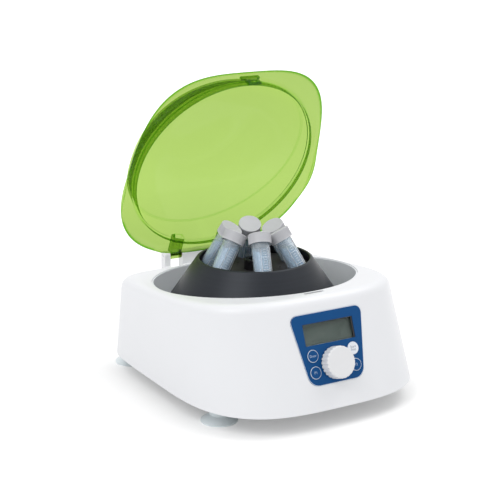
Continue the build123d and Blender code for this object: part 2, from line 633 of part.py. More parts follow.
# Knob with a scalloped edge
knob_top = KNOB_STANDOFF + KNOB_HEIGHT
knob = rod(KNOB_RADIUS, KNOB_STANDOFF, knob_top)
knob = fillet(knob.edges().sort_by(Axis.Z)[-1], 2.5)
knob -= rod(KNOB_RADIUS - 3, KNOB_STANDOFF, KNOB_STANDOFF + 3)
knob -= rod(ENCODER_SHAFT_RADIUS + 0.05, KNOB_STANDOFF, shaft_end)
knob += block((-2.5, 2.5), (ENCODER_SHAFT_RADIUS - 0.9, ENCODER_SHAFT_RADIUS + 1),
              (KNOB_STANDOFF + 3, shaft_end))
for i in range(KNOB_SCALLOPS):
    notch = Pos(KNOB_RADIUS + 0.5, 0) * rod(KNOB_SCALLOP_RADIUS, KNOB_STANDOFF, knob_top)
    knob -= Rot(Z=360 / KNOB_SCALLOPS * i) * notch
save("selector_knob", on_panel(knob, v=KNOB_V))


# Lid, in its own frame: hinge axis along X through the origin, rim plane level, front towards -Y
def rim_section(inset, height):
    """The lid's rounded outline at a height over the rim plane."""
    flat = rounded_outline(LID_HALF_WIDTH - inset, LID_HALF_LENGTH - inset,
                           LID_FRONT_ROUND, LID_REAR_ROUND, LID_TAPER)
    return outline_face([(x, y - LID_MIDDLE, height - LID_DROP) for x, y in flat])


def circle_section(radius, height, lean=0.0):
    """A circle about the lid's middle, its hinge side raised by a lean."""
    flat = rounded_outline(radius, radius, 2, 2)
    a = radians(lean)
    return outline_face([(x, y * cos(a) - LID_MIDDLE, height + y * sin(a) - LID_DROP) for x, y in flat])


def dome(radius, rise):
    """Cap on the crown circle, full at its sides and gently round on top, with a short root below."""
    steps = (0.0, 0.3, 0.52, 0.7, 0.84, 0.94, 1.0)
    curve = Spline(*[(radius * s, 0, rise * (1 - s ** DOME_POWER)) for s in steps],
                   tangents=[(1, 0, 0), (1, 0, -DOME_POWER * rise / radius)])
    root = Polyline((radius, 0, 0), (radius, 0, -DOME_ROOT), (0, 0, -DOME_ROOT), (0, 0, rise))
    cap_solid = revolve(make_face([curve, *root.edges()]), Axis.Z)
    return Pos(0, -LID_MIDDLE, CROWN_HEIGHT - LID_DROP) * Rot(X=CROWN_TILT) * cap_solid


def lid_volume(inset=0.0):
    """The lid's outer form with a long skirt, or the same form drawn in by inset."""
    lower = loft([
        rim_section(inset, -LID_SKIRT - inset),
        rim_section(inset, -inset),
        circle_section(DRUM_RADIUS - inset, DRUM_FOOT_HEIGHT - inset),
        circle_section(CROWN_RADIUS - inset, CROWN_HEIGHT, CROWN_TILT),
    ], ruled=True)
    return lower + dome(CROWN_RADIUS - inset - DOME_LEDGE, DOME_RISE - inset)


def lid_to_world(shape, lean):
    """Place a shape from the lid's frame with the lid raised by lean degrees."""
    return Pos(0, HINGE_Y, HINGE_Z) * Rot(X=-lean) * shape


def world_to_lid(shape, lean):
    """The reverse: a shape of the base, seen from the lid at that lean."""
    return Rot(X=lean) * Pos(0, -HINGE_Y, -HINGE_Z) * shape


lid_outer = lid_volume()
lid_inner = lid_volume(LID_WALL)
lid = lid_outer - lid_inner
chamber_in_lid = -(HINGE_Y - sin(tilt) * LID_DROP) / cos(tilt)
rib = Pos(0, chamber_in_lid) * ring(LID_RIB_RADIUS, LID_RIB_RADIUS - LID_RIB_WALL,
                                    -LID_DROP - LID_RIB_DEPTH, -LID_DROP + DRUM_FOOT_HEIGHT)
lid += rib & lid_outer

# Hinge ears with their eyes
ear_width = EAR_OUTER_X - EAR_INNER_X
for side in (-1, 1):
    middle_x = side * (EAR_INNER_X + EAR_OUTER_X) / 2
    eye = Rot(Y=90) * Cylinder(EYE_RADIUS, ear_width)
    arm = block((-ear_width / 2, ear_width / 2), (-EAR_REACH, 0), (EYE_RADIUS - EAR_THICKNESS, EYE_RADIUS))
    lid += Pos(middle_x) * (eye + arm) - lid_inner
lid -= Rot(Y=90) * Cylinder(PIN_RADIUS + RUNNING_GAP, 4 * EAR_OUTER_X)

# The rim's sides droop, and the rim follows the casing that it closes on
droop_radius = (LID_HALF_WIDTH ** 2 + LID_SIDE_DROOP ** 2) / (2 * LID_SIDE_DROOP)
below_rim = Pos(0, -LID_MIDDLE, -LID_DROP - droop_radius) * Rot(X=90) * Cylinder(droop_radius, 500)
rib_zone = rod(LID_RIB_RADIUS + FIT_GAP, -LID_DROP - 2 * LID_SKIRT, -LID_DROP + LID_SKIRT)
lid -= below_rim - Pos(0, chamber_in_lid) * rib_zone
casing_round_mouth = casing - rod(MOUTH_RADIUS - 1, 0, 2 * mouth_high_z)
lid -= Pos(0, 0, LID_GAP) * world_to_lid(casing_round_mouth, TOP_TILT)
save("lid_shell", lid_to_world(lid, LID_OPEN_TILT))

# Latch tab under the lid's front edge, with a window for the lock bolt
slot_in_lid = world_to_lid(Pos(0, SLOT_Y, slot_z) * Sphere(1), TOP_TILT).center().Y
bolt_z = slot_z - BOLT_BELOW_TOP
bolt_in_lid = world_to_lid(Pos(0, SLOT_Y, bolt_z) * Sphere(1), TOP_TILT).center()
half_tab = TAB_THICKNESS / 2
tab_y = (slot_in_lid - half_tab, slot_in_lid + half_tab)
tab = block((-TAB_WIDTH / 2, TAB_WIDTH / 2), tab_y, (-LID_DROP - TAB_DEPTH, -LID_DROP + 3))
tab += block((-TAB_TOP_WIDTH / 2, TAB_TOP_WIDTH / 2), tab_y, (-LID_DROP - 7, -LID_DROP + DRUM_FOOT_HEIGHT))
tab -= block((-TAB_WINDOW_WIDTH / 2, TAB_WINDOW_WIDTH / 2), tab_y,
             (bolt_in_lid.Z - TAB_WINDOW_HEIGHT / 2, bolt_in_lid.Z + TAB_WINDOW_HEIGHT / 2))
tab &= lid_volume(LID_WALL + 0.05) + block((-100, 100), (-400, 0), (-LID_DROP - 40, -LID_DROP - 2))
save("latch_tab", lid_to_world(tab, LID_OPEN_TILT))

# Hinge block on the casing's back, with three knuckles
arm_bottom_z = HINGE_Z - BLOCK_ARM_HEIGHT
block_profile = [
    (BLOCK_FRONT_Y, BLOCK_BOTTOM_Z), (BLOCK_REAR_Y, BLOCK_BOTTOM_Z), (HINGE_Y + EYE_RADIUS, arm_bottom_z),
    (HINGE_Y + EYE_RADIUS, HINGE_Z), (HINGE_Y - EYE_RADIUS, HINGE_Z), (HINGE_Y - EYE_RADIUS, arm_bottom_z + 9),
    (HINGE_Y - 2 * EYE_RADIUS, arm_bottom_z + 5), (BLOCK_FRONT_Y, arm_bottom_z + 5),
]
block_face = make_face(Polyline(*[(0, y, z) for y, z in block_profile], close=True))
spans = [
    (-EAR_INNER_X + WASHER_THICKNESS, EAR_INNER_X - WASHER_THICKNESS),
    (EAR_OUTER_X + WASHER_THICKNESS, KNUCKLE_OUTER_X),
    (-KNUCKLE_OUTER_X, -EAR_OUTER_X - WASHER_THICKNESS),
]
hinge_block = None
for low, high in spans:
    piece = extrude(block_face, high - low, dir=(1, 0, 0))
    piece = Pos(low) * piece
    piece += Pos((low + high) / 2, HINGE_Y, HINGE_Z) * Rot(Y=90) * Cylinder(EYE_RADIUS, high - low)
    hinge_block = piece if hinge_block is None else hinge_block + piece
hinge_block += block((-KNUCKLE_OUTER_X, KNUCKLE_OUTER_X), (BLOCK_FRONT_Y, BLOCK_REAR_Y),
                     (BLOCK_BOTTOM_Z, arm_bottom_z))
hinge_block -= casing
hinge_block -= Pos(0, HINGE_Y, HINGE_Z) * Rot(Y=90) * Cylinder(PIN_RADIUS + RUNNING_GAP, 4 * KNUCKLE_OUTER_X)
save("hinge_block", hinge_block)

# Hinge pin and the friction washers beside the ears
save("hinge_pin", Pos(0, HINGE_Y, HINGE_Z) * Rot(Y=90) * Cylinder(PIN_RADIUS, 2 * KNUCKLE_OUTER_X))
washers = []
for x in (-EAR_OUTER_X, -EAR_INNER_X, EAR_INNER_X, EAR_OUTER_X):
    outward = 1 if abs(x) == EAR_OUTER_X else -1
    offset = (1 if x > 0 else -1) * outward * WASHER_THICKNESS / 2
    washer = Cylinder(EYE_RADIUS - 1, WASHER_THICKNESS - 2 * WASHER_GAP)
    washer -= Cylinder(PIN_RADIUS + RUNNING_GAP, WASHER_THICKNESS)
    washers.append(Pos(x + offset, HINGE_Y, HINGE_Z) * Rot(Y=90) * washer)
save("hinge_washers", Compound(washers))

# Lid lock: a bolt that a solenoid pushes through the tab's window
bolt_tip_y = SLOT_Y - SLOT_WIDTH / 2 - BOLT_TIP_GAP
bolt_tail_y = bolt_tip_y - BOLT_LENGTH
half_bolt = (BOLT_WIDTH / 2, BOLT_HEIGHT / 2)
bolt = block((-half_bolt[0], half_bolt[0]), (bolt_tail_y, bolt_tip_y),
             (bolt_z - half_bolt[1], bolt_z + half_bolt[1]))
save("lock_bolt", bolt)
solenoid_y = (bolt_tail_y - SOLENOID_WALL - FIT_GAP, bolt_tip_y - BOLT_TRAVEL)
solenoid_z = (bolt_z - SOLENOID_HEIGHT / 2, bolt_z + SOLENOID_HEIGHT / 2)
solenoid = block((-SOLENOID_WIDTH / 2, SOLENOID_WIDTH / 2), solenoid_y, solenoid_z)
solenoid -= block((-half_bolt[0] - FIT_GAP, half_bolt[0] + FIT_GAP), (bolt_tail_y - FIT_GAP, solenoid_y[1]),
                  (bolt_z - half_bolt[1] - FIT_GAP, bolt_z + half_bolt[1] + FIT_GAP))
save("lock_solenoid", solenoid)

# Switch that feels the closed lid, beside the solenoid
switch_left_x = SOLENOID_WIDTH / 2 + 3
lid_switch = block((switch_left_x, switch_left_x + LID_SWITCH_WIDTH), solenoid_y,
                   (solenoid_z[0], solenoid_z[0] + LID_SWITCH_HEIGHT))
save("lid_switch", lid_switch)

# Bracket from the front wall that carries both
bracket = block((-SOLENOID_WIDTH / 2 - 6, switch_left_x + LID_SWITCH_WIDTH + 3), (SHELL_FRONT_Y, SLOT_Y + 3),
                (solenoid_z[0] - BRACKET_THICKNESS, solenoid_z[0]))
save("lock_bracket", bracket & casing_volume(SHELL_WALL))

# Mains inlet: a shrouded socket with three pins
entry_y = SHELL_REAR_Y + FLANGE_THICKNESS


def entry_block(x, width, height, y):
    """Box centred on a spot of the mains entry, between two depths."""
    return Pos(x, 0, INLET_Z) * block((-width / 2, width / 2), y, (-height / 2, height / 2))


flange_y = (SHELL_REAR_Y - 2 * FLANGE_RIM, entry_y)
inlet = entry_block(INLET_X, INLET_WIDTH + 2 * FLANGE_RIM, INLET_HEIGHT + 2 * FLANGE_RIM, flange_y) - casing
body_width = INLET_WIDTH - 2 * FIT_GAP
body_height = INLET_HEIGHT - 2 * FIT_GAP
inlet += entry_block(INLET_X, body_width, body_height, (entry_y - INLET_DEPTH, entry_y))
socket_y = (entry_y - SOCKET_DEPTH, entry_y)
inlet -= entry_block(INLET_X, body_width - 2 * SOCKET_WALL, body_height - 2 * SOCKET_WALL, socket_y)
for x, z in PIN_PLACES:
    pin = block((-1.0, 1.0), (socket_y[0], entry_y - 3), (-2.0, 2.0))
    inlet += Pos(INLET_X + x, 0, INLET_Z + z) * pin
save("mains_inlet", inlet)

# Rocker switch beside it
frame_rim = FLANGE_RIM / 2
switch_frame = entry_block(SWITCH_X, switch_body_width + 2 * frame_rim, switch_body_height + 2 * frame_rim,
                           flange_y) - casing
switch_frame += entry_block(SWITCH_X, switch_body_width - 2 * FIT_GAP, switch_body_height - 2 * FIT_GAP,
                            (entry_y - INLET_DEPTH, entry_y))
switch_frame -= entry_block(SWITCH_X, ROCKER_WIDTH + 2 * ROCKER_GAP, ROCKER_HEIGHT + 2 * ROCKER_GAP,
                            (entry_y - ROCKER_WELL, entry_y))
save("power_switch_frame", switch_frame)
half_swing = radians(ROCKER_SWING / 2)
paddle = ROCKER_HEIGHT / 2 - 2 * ROCKER_GAP
paddle_tip = (paddle * cos(half_swing), ROCKER_CREST + paddle * sin(half_swing))
rocker_side = [
    (paddle_tip[1], -paddle_tip[0]), (ROCKER_CREST, 0), paddle_tip[::-1],
    (-1.0, paddle - 3.0), (-ROCKER_TAIL, 2.5), (-ROCKER_TAIL, -2.5), (-1.0, 3.0 - paddle),
]
rocker_face = make_face(Polyline(*[(0, y, z) for y, z in rocker_side], close=True))
rocker = Pos(-ROCKER_WIDTH / 2) * extrude(rocker_face, ROCKER_WIDTH, dir=(1, 0, 0))
rocker_pivot_y = entry_y - ROCKER_PIVOT_DEPTH
save("power_rocker", Pos(SWITCH_X, rocker_pivot_y, INLET_Z) * Rot(X=ROCKER_SWING / 2) * rocker)

# Power board with its transformer, on the plate's spacers
board_top_z = board_z + BOARD_THICKNESS
save("power_board", block(POWER_BOARD_X, POWER_BOARD_Y, (board_z, board_top_z)))
save("transformer", block(TRANSFORMER_X, TRANSFORMER_Y, (board_top_z, board_top_z + TRANSFORMER_HEIGHT)))

# Speed controller in its box
controller_z = (plate_top_z, plate_top_z + CONTROLLER_HEIGHT)
save("motor_controller", block(CONTROLLER_X, CONTROLLER_Y, controller_z))

# Sensor on the motor's plate that stops the drive when the load is out of balance
sensor_y = (2 - MOUNT_RADIUS, 2 - MOUNT_RADIUS + SENSOR_LENGTH)
sensor_x = (-SENSOR_WIDTH / 2, SENSOR_WIDTH / 2)
save("imbalance_sensor", block(sensor_x, sensor_y, (mount_top_z, mount_top_z + SENSOR_HEIGHT)))

print(len(written), "sub-parts written")
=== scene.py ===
# %% [markdown]
# # A small bench centrifuge
# A laboratory centrifuge spins tubes so that what they hold settles in layers. This one has
# a white moulded casing, a dark cone-shaped rotor with six leaning tubes, a clear
# yellow-green lid and a blue control panel. The solid parts come ready made from a CAD
# model, in metres. This lesson gives them their finishes, adds the small things that CAD
# leaves out, and lights them.

# %% Load the solid parts
import math
import bmesh
import bpy
from mathutils import Matrix, Vector
from mathutils.bvhtree import BVHTree


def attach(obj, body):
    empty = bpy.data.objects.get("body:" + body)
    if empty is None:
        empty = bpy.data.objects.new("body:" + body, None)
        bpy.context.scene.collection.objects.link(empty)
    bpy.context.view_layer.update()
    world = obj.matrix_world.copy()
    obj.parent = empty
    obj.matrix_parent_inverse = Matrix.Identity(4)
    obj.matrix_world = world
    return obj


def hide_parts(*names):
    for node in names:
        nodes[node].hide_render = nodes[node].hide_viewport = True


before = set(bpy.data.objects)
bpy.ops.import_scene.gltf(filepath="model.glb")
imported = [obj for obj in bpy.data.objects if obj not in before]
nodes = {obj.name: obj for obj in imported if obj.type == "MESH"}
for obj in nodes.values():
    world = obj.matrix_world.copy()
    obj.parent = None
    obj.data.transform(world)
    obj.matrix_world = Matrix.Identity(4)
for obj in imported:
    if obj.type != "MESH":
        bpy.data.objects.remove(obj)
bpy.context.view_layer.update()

# %% [markdown]
# Two places are used again and again: the rotor's axis and the flat frame of the sloping
# panel. Naming them once keeps every later piece in its place. A matrix holds such a frame:
# its columns are the directions to the right, up the slope and out of the face, then the
# origin.

# %% Places on the device
MM = 0.001
ROTOR_Y = 12 * MM
SLOPE = math.radians(20.1492)
panel_out = Vector((0, -math.cos(SLOPE), math.sin(SLOPE)))
panel_up = Vector((0, math.sin(SLOPE), math.cos(SLOPE)))
panel_origin = Vector((0, -174.2432 * MM, 118 * MM))


def placed(right, up, out, origin):
    """Matrix that carries a flat drawing onto a frame of three directions."""
    m = Matrix((right, up, out)).transposed().to_4x4()
    m.translation = origin
    return m


PANEL = placed(Vector((1, 0, 0)), panel_up, panel_out, panel_origin)
TUBES = 6
FIRST_TUBE = -109.7
TUBE_ANGLES = [math.radians(FIRST_TUBE + i * 360 / TUBES) for i in range(TUBES)]
TUBE_LEAN = math.radians(32)
CAP_RING_RADIUS = 32.5 * MM
CAP_TOP = 212 * MM


def tube_frame(angle):
    """Frame of one tube: its axis is Z, the top of its cap lies at the origin."""
    turn = Matrix.Rotation(angle, 4, "Z")
    spot = turn @ Matrix.Translation((CAP_RING_RADIUS, 0, CAP_TOP))
    return Matrix.Translation((0, ROTOR_Y, 0)) @ spot @ Matrix.Rotation(-TUBE_LEAN, 4, "Y")


print("panel frame at", [round(v, 4) for v in PANEL.translation], "tubes", len(TUBE_ANGLES))

# %% [markdown]
# The camera looks a little down on the front left corner through a long lens, as a product
# photographer does, so that upright edges stay nearly parallel. It is aimed by turning its
# own minus Z axis towards a point inside the casing.

# %% Camera
LENS = 93.73
SENSOR_WIDTH = 36
EYE = (-0.8936, -1.4813, 0.6567)
AIM = Vector((-0.00728, ROTOR_Y, 0.18296))
camera = bpy.data.objects.new("camera", bpy.data.cameras.new("camera"))
bpy.context.scene.collection.objects.link(camera)
bpy.context.scene.camera = camera
camera.data.lens = LENS
camera.data.sensor_width = SENSOR_WIDTH
camera.location = EYE
camera.rotation_mode = "QUATERNION"
camera.rotation_quaternion = (AIM - camera.location).to_track_quat("-Z", "Y")
print("camera distance", round((AIM - camera.location).length, 3))

# %% [markdown]
# ## Finishes
# A shader is a small net of nodes. Five short helpers keep the nets readable. They add a
# node, link an output or write a value, add a Math node, mix two colours, and start a
# group. They could be left out, at the price of several lines for every node.

# %% Helpers for shader nets
NUMBER = "NodeSocketFloat"
DIRECTION = "NodeSocketVector"


def add_node(tree, kind, **settings):
    """A node of one kind; settings name its properties or else its inputs."""
    node = tree.nodes.new(kind)
    for key, value in settings.items():
        if hasattr(node, key):
            setattr(node, key, value)
        else:
            node.inputs[key.replace("_", " ")].default_value = value
    return node


def feed(tree, value, socket):
    """Link an output to a socket, or write a plain number or colour into it."""
    if isinstance(value, bpy.types.NodeSocket):
        tree.links.new(value, socket)
    else:
        socket.default_value = value


def calc(tree, operation, *values, clamp=False):
    """A Math node on numbers or outputs; returns its result."""
    node = add_node(tree, "ShaderNodeMath", operation=operation, use_clamp=clamp)
    for value, socket in zip(values, node.inputs):
        feed(tree, value, socket)
    return node.outputs[0]


def mixed(tree, share, first, second):
    """A colour between two others."""
    node = add_node(tree, "ShaderNodeMix", data_type="RGBA")
    feed(tree, share, node.inputs[0])
    feed(tree, first, node.inputs[6])
    feed(tree, second, node.inputs[7])
    return node.outputs[2]


def new_group(name, inputs, outputs):
    """An empty shader group with named number inputs, and outputs of a given kind."""
    group = bpy.data.node_groups.new(name, "ShaderNodeTree")
    sockets = group.interface
    for label, default in inputs:
        socket = sockets.new_socket(label, in_out="INPUT", socket_type=NUMBER)
        socket.default_value = default
    for label, kind in outputs:
        sockets.new_socket(label, in_out="OUTPUT", socket_type=kind)
    return group, add_node(group, "NodeGroupInput"), add_node(group, "NodeGroupOutput")


print("helpers ready")

# %% [markdown]
# Moulded plastic is never quite even. The mould leaves a grain far finer than a millimetre,
# handling leaves faint patches that shine less, and the colour drifts a little. One group
# makes all three from noise of different sizes, so that every plastic can share it with its
# own amounts.

# %% Group: moulded surface
GRAIN_HEIGHT = 0.04 * MM
moulded, at, out = new_group(
    "moulded surface",
    [("Grain Scale", 900.0), ("Grain Depth", 0.5), ("Patch Size", 25.0),
     ("Patch Amount", 0.1)],
    [("Tone", NUMBER), ("Shine", NUMBER), ("Normal", DIRECTION)],
)
where = add_node(moulded, "ShaderNodeTexCoord").outputs["Object"]
grain = add_node(moulded, "ShaderNodeTexNoise", Detail=3.0, Roughness=0.6)
feed(moulded, where, grain.inputs["Vector"])
feed(moulded, at.outputs["Grain Scale"], grain.inputs["Scale"])
patch = add_node(moulded, "ShaderNodeTexNoise", Detail=4.0, Roughness=0.65)
feed(moulded, where, patch.inputs["Vector"])
feed(moulded, at.outputs["Patch Size"], patch.inputs["Scale"])
bump = add_node(moulded, "ShaderNodeBump", Distance=GRAIN_HEIGHT)
feed(moulded, at.outputs["Grain Depth"], bump.inputs["Strength"])
feed(moulded, grain.outputs["Fac"], bump.inputs["Height"])
drift = calc(moulded, "SUBTRACT", patch.outputs["Fac"], 0.5)
drift = calc(moulded, "MULTIPLY", drift, at.outputs["Patch Amount"])
feed(moulded, calc(moulded, "ADD", drift, 1.0), out.inputs["Tone"])
feed(moulded, drift, out.inputs["Shine"])
feed(moulded, bump.outputs["Normal"], out.inputs["Normal"])
print("nodes in the moulded group:", len(moulded.nodes))

# %% [markdown]
# Dust and rubbing show first where a surface bends. The Bevel node gives the normal of a
# softened edge; where it differs from the real normal there is an edge. The mask is broken
# up with noise so that it doesn't look drawn. The amount stays small, because this is a
# clean, new device. The clear lid and window use the same mask to paint shade into their
# rims: a deeper tint where light gathers in the real plastic.

# %% Group: edge wear and rim shade
EDGE_GAIN = 6.0
wear_and_rim_shade, at, out = new_group(
    "edge wear and rim shade", [("Width", 1.2 * MM), ("Amount", 0.5)], [("Mask", NUMBER)],
)
soft = add_node(wear_and_rim_shade, "ShaderNodeBevel", samples=4)
feed(wear_and_rim_shade, at.outputs["Width"], soft.inputs["Radius"])
real = add_node(wear_and_rim_shade, "ShaderNodeNewGeometry")
facing = add_node(wear_and_rim_shade, "ShaderNodeVectorMath", operation="DOT_PRODUCT")
feed(wear_and_rim_shade, soft.outputs["Normal"], facing.inputs[0])
feed(wear_and_rim_shade, real.outputs["Normal"], facing.inputs[1])
bend = calc(wear_and_rim_shade, "SUBTRACT", 1.0, facing.outputs["Value"])
edge = calc(wear_and_rim_shade, "MULTIPLY", bend, EDGE_GAIN, clamp=True)
speck = add_node(wear_and_rim_shade, "ShaderNodeTexNoise", Scale=350.0, Detail=3.0)
feed(wear_and_rim_shade, add_node(wear_and_rim_shade, "ShaderNodeTexCoord").outputs["Object"], speck.inputs["Vector"])
broken = calc(wear_and_rim_shade, "MULTIPLY", edge, speck.outputs["Fac"])
feed(wear_and_rim_shade, calc(wear_and_rim_shade, "MULTIPLY", broken, at.outputs["Amount"]), out.inputs["Mask"])
print("nodes in the worn group:", len(wear_and_rim_shade.nodes))

# %% [markdown]
# Turned metal carries rings left by the tool, too fine to count but enough to stretch the
# reflections round the axis. On a body of revolution both the distance from the axis and
# the height stay the same along such a ring, so a noise that reads only their sum draws
# rings on flat and sloping faces alike.

# %% Group: turned rings
RING_HEIGHT = 0.03 * MM
turned, at, out = new_group(
    "turned rings", [("Fineness", 1500.0), ("Depth", 0.3)],
    [("Tone", NUMBER), ("Normal", DIRECTION)],
)
where = add_node(turned, "ShaderNodeTexCoord").outputs["Object"]
centred = add_node(turned, "ShaderNodeMapping", Location=(0, -ROTOR_Y, 0))
feed(turned, where, centred.inputs["Vector"])
parts = add_node(turned, "ShaderNodeSeparateXYZ")
feed(turned, centred.outputs[0], parts.inputs[0])
across = calc(turned, "MULTIPLY", parts.outputs[0], parts.outputs[0])
across = calc(turned, "MULTIPLY_ADD", parts.outputs[1], parts.outputs[1], across)
along = calc(turned, "SUBTRACT", calc(turned, "SQRT", across), parts.outputs[2])
along = calc(turned, "MULTIPLY", along, at.outputs["Fineness"])
ring_noise = add_node(turned, "ShaderNodeTexNoise", noise_dimensions="1D", Scale=1.0,
                      Detail=3.0)
feed(turned, along, ring_noise.inputs["W"])
bump = add_node(turned, "ShaderNodeBump", Distance=RING_HEIGHT)
feed(turned, at.outputs["Depth"], bump.inputs["Strength"])
feed(turned, ring_noise.outputs["Fac"], bump.inputs["Height"])
feed(turned, ring_noise.outputs["Fac"], out.inputs["Tone"])
feed(turned, bump.outputs["Normal"], out.inputs["Normal"])
print("rings about", (0, ROTOR_Y))

# %% [markdown]
# Most pieces are plastic or metal of one colour. One function builds that material: a
# Principled shader, the moulded group for its grain, and the worn group that lightens its
# edges. Each finish then differs only in the numbers that it is given.

# %% A plain finish
WORN_TONE = (0.8, 0.8, 0.8, 1)
COAT_ROUGHNESS = 0.08


def group_node(tree, group, **values):
    """Place a shader group in a material with its own values."""
    node = add_node(tree, "ShaderNodeGroup", node_tree=group)
    for label, value in values.items():
        feed(tree, value, node.inputs[label.replace("_", " ")])
    return node


def start_material(name, roughness, metallic=0.0, coat=0.0):
    """A new material; returns it with its node tree and its Principled shader."""
    material = bpy.data.materials.new(name)
    material.use_nodes = True
    tree = material.node_tree
    shader = tree.nodes["Principled BSDF"]
    shader.inputs["Roughness"].default_value = roughness
    shader.inputs["Metallic"].default_value = metallic
    shader.inputs["Coat Weight"].default_value = coat
    shader.inputs["Coat Roughness"].default_value = COAT_ROUGHNESS
    return material, tree, shader


def finish_surface(tree, shader, colour, roughness, grain=(900.0, 0.3),
                   patches=(25.0, 0.08), wear=0.3):
    """Give a shader an uneven colour and roughness, with grain and lightened edges."""
    skin = group_node(tree, moulded, Grain_Scale=grain[0], Grain_Depth=grain[1],
                      Patch_Size=patches[0], Patch_Amount=patches[1])
    tinted = add_node(tree, "ShaderNodeVectorMath", operation="SCALE")
    linked = isinstance(colour, bpy.types.NodeSocket)
    feed(tree, colour if linked else colour[:3], tinted.inputs[0])
    feed(tree, skin.outputs["Tone"], tinted.inputs["Scale"])
    base = tinted.outputs[0]
    if wear:
        mask = group_node(tree, wear_and_rim_shade, Amount=wear).outputs["Mask"]
        base = mixed(tree, mask, base, WORN_TONE)
    feed(tree, base, shader.inputs["Base Color"])
    uneven = calc(tree, "ADD", skin.outputs["Shine"], roughness, clamp=True)
    feed(tree, uneven, shader.inputs["Roughness"])
    feed(tree, skin.outputs["Normal"], shader.inputs["Normal"])


def plain(name, colour, roughness, metallic=0.0, coat=0.0, **skin):
    """A one-coloured material with grain, patches and soft wear."""
    material, tree, shader = start_material(name, roughness, metallic, coat)
    finish_surface(tree, shader, (*colour, 1), roughness, **skin)
    return material


print("plain finishes can be made")

# %% [markdown]
# The colours are written as the real surfaces look in even light. White plastic is never
# pure white: at eight tenths it still has room for a highlight. The casing has a faint cool
# cast and a thin clear layer of gloss. Steel and aluminium get a high metallic value,
# rubber a high roughness.

# %% Plain finishes of this device
casing_white = plain("casing white", (0.80, 0.81, 0.835), 0.38, coat=0.08,
                     grain=(1400.0, 0.12), patches=(9.0, 0.03), wear=0.0)
hinge_white = plain("hinge white", (0.82, 0.83, 0.845), 0.38, grain=(1500.0, 0.2), wear=0.1)
knob_white = plain("knob white", (0.76, 0.765, 0.78), 0.36, coat=0.15, grain=(1800.0, 0.15),
                   patches=(60.0, 0.04), wear=0.0)
underside_grey = plain("underside grey", (0.52, 0.53, 0.54), 0.55, grain=(1100.0, 0.6))
socket_black = plain("socket black", (0.018, 0.018, 0.02), 0.45, grain=(1300.0, 0.5),
                     wear=0.2)
rocker_black = plain("rocker black", (0.014, 0.014, 0.016), 0.25, coat=0.3, wear=0.15)
part_black = plain("component black", (0.03, 0.03, 0.033), 0.5)
nut_black = plain("nut black", (0.012, 0.012, 0.014), 0.22, coat=0.5, grain=(1500.0, 0.2),
                  wear=0.12)
rubber_black = plain("rubber black", (0.02, 0.02, 0.022), 0.8, grain=(700.0, 0.9), wear=0.1)
steel = plain("plated steel", (0.56, 0.57, 0.59), 0.28, metallic=1.0, patches=(90.0, 0.3),
              wear=0.15)
sheet_steel = plain("sheet steel", (0.50, 0.51, 0.53), 0.38, metallic=1.0,
                    patches=(60.0, 0.35))
motor_aluminium = plain("motor aluminium", (0.46, 0.47, 0.49), 0.42, metallic=1.0,
                        grain=(900.0, 0.8))
washer_brass = plain("washer brass", (0.60, 0.45, 0.20), 0.3, metallic=1.0)
transformer_dark = plain("transformer varnish", (0.05, 0.045, 0.05), 0.35, metallic=0.4)
cap_grey = plain("cap grey", (0.50, 0.505, 0.53), 0.42, grain=(1600.0, 0.35),
                 patches=(80.0, 0.08), wear=0.12)
print("plain finishes:", len(bpy.data.materials))

# %% [markdown]
# The bowl is spun from sheet and painted light grey. The turned rings could bump the whole
# paint, but that looks scratched. Here they bump only its thin clear top layer, at a low
# depth, so that just the faint reflections run round the bowl.

# %% Bowl
bowl_paint, tree, shader = start_material("bowl grey", 0.42, coat=0.1)
finish_surface(tree, shader, (0.79, 0.82, 0.85, 1), 0.42, grain=(1000.0, 0.3),
               patches=(18.0, 0.05), wear=0.0)
rings = group_node(tree, turned, Fineness=500.0, Depth=0.12)
feed(tree, rings.outputs["Normal"], shader.inputs["Coat Normal"])
print("bowl material nodes:", len(tree.nodes))

# %% [markdown]
# The rotor is turned from aluminium and anodised to a dark slate. Anodising keeps the
# metal's sheen but takes most of its shine. The rings change both the colour and the normal
# a little: with only one of the two, the surface looks printed or looks wet. The core
# between the tubes is a shade duller.

# %% Rotor
BARE_METAL = (0.22, 0.23, 0.25, 1)
LEAST_TONE = 0.6
FINE_STREAK = 0.5
WIDE_STREAK = 0.3
ROUGH_RANGE = 0.16


def turned_dark(name, colour, roughness, metallic, specular):
    """Anodised metal with fine and wide rings round the rotor's axis."""
    material, tree, shader = start_material(name, roughness, metallic)
    shader.inputs["Specular IOR Level"].default_value = specular
    rings = group_node(tree, turned, Fineness=2200.0, Depth=0.55)
    wide_rings = group_node(tree, turned, Fineness=160.0, Depth=0.1)
    streak = calc(tree, "MULTIPLY_ADD", rings.outputs["Tone"], FINE_STREAK, LEAST_TONE)
    streak = calc(tree, "MULTIPLY_ADD", wide_rings.outputs["Tone"], WIDE_STREAK, streak)
    dark = add_node(tree, "ShaderNodeVectorMath", operation="SCALE")
    feed(tree, colour, dark.inputs[0])
    feed(tree, streak, dark.inputs["Scale"])
    edge_mask = group_node(tree, wear_and_rim_shade, Width=0.9 * MM, Amount=0.5).outputs["Mask"]
    worn_rim = mixed(tree, edge_mask, dark.outputs[0], BARE_METAL)
    feed(tree, worn_rim, shader.inputs["Base Color"])
    rough = calc(tree, "MULTIPLY_ADD", rings.outputs["Tone"], ROUGH_RANGE,
                 roughness - ROUGH_RANGE / 2)
    feed(tree, rough, shader.inputs["Roughness"])
    feed(tree, rings.outputs["Normal"], shader.inputs["Normal"])
    return material


rotor_slate = turned_dark("rotor slate", (0.018, 0.0215, 0.0285), 0.42, 0.2, 0.3)
core_black = turned_dark("rotor core", (0.045, 0.043, 0.045), 0.6, 0.0, 0.15)
print("rotor finishes:", rotor_slate.name, core_black.name)

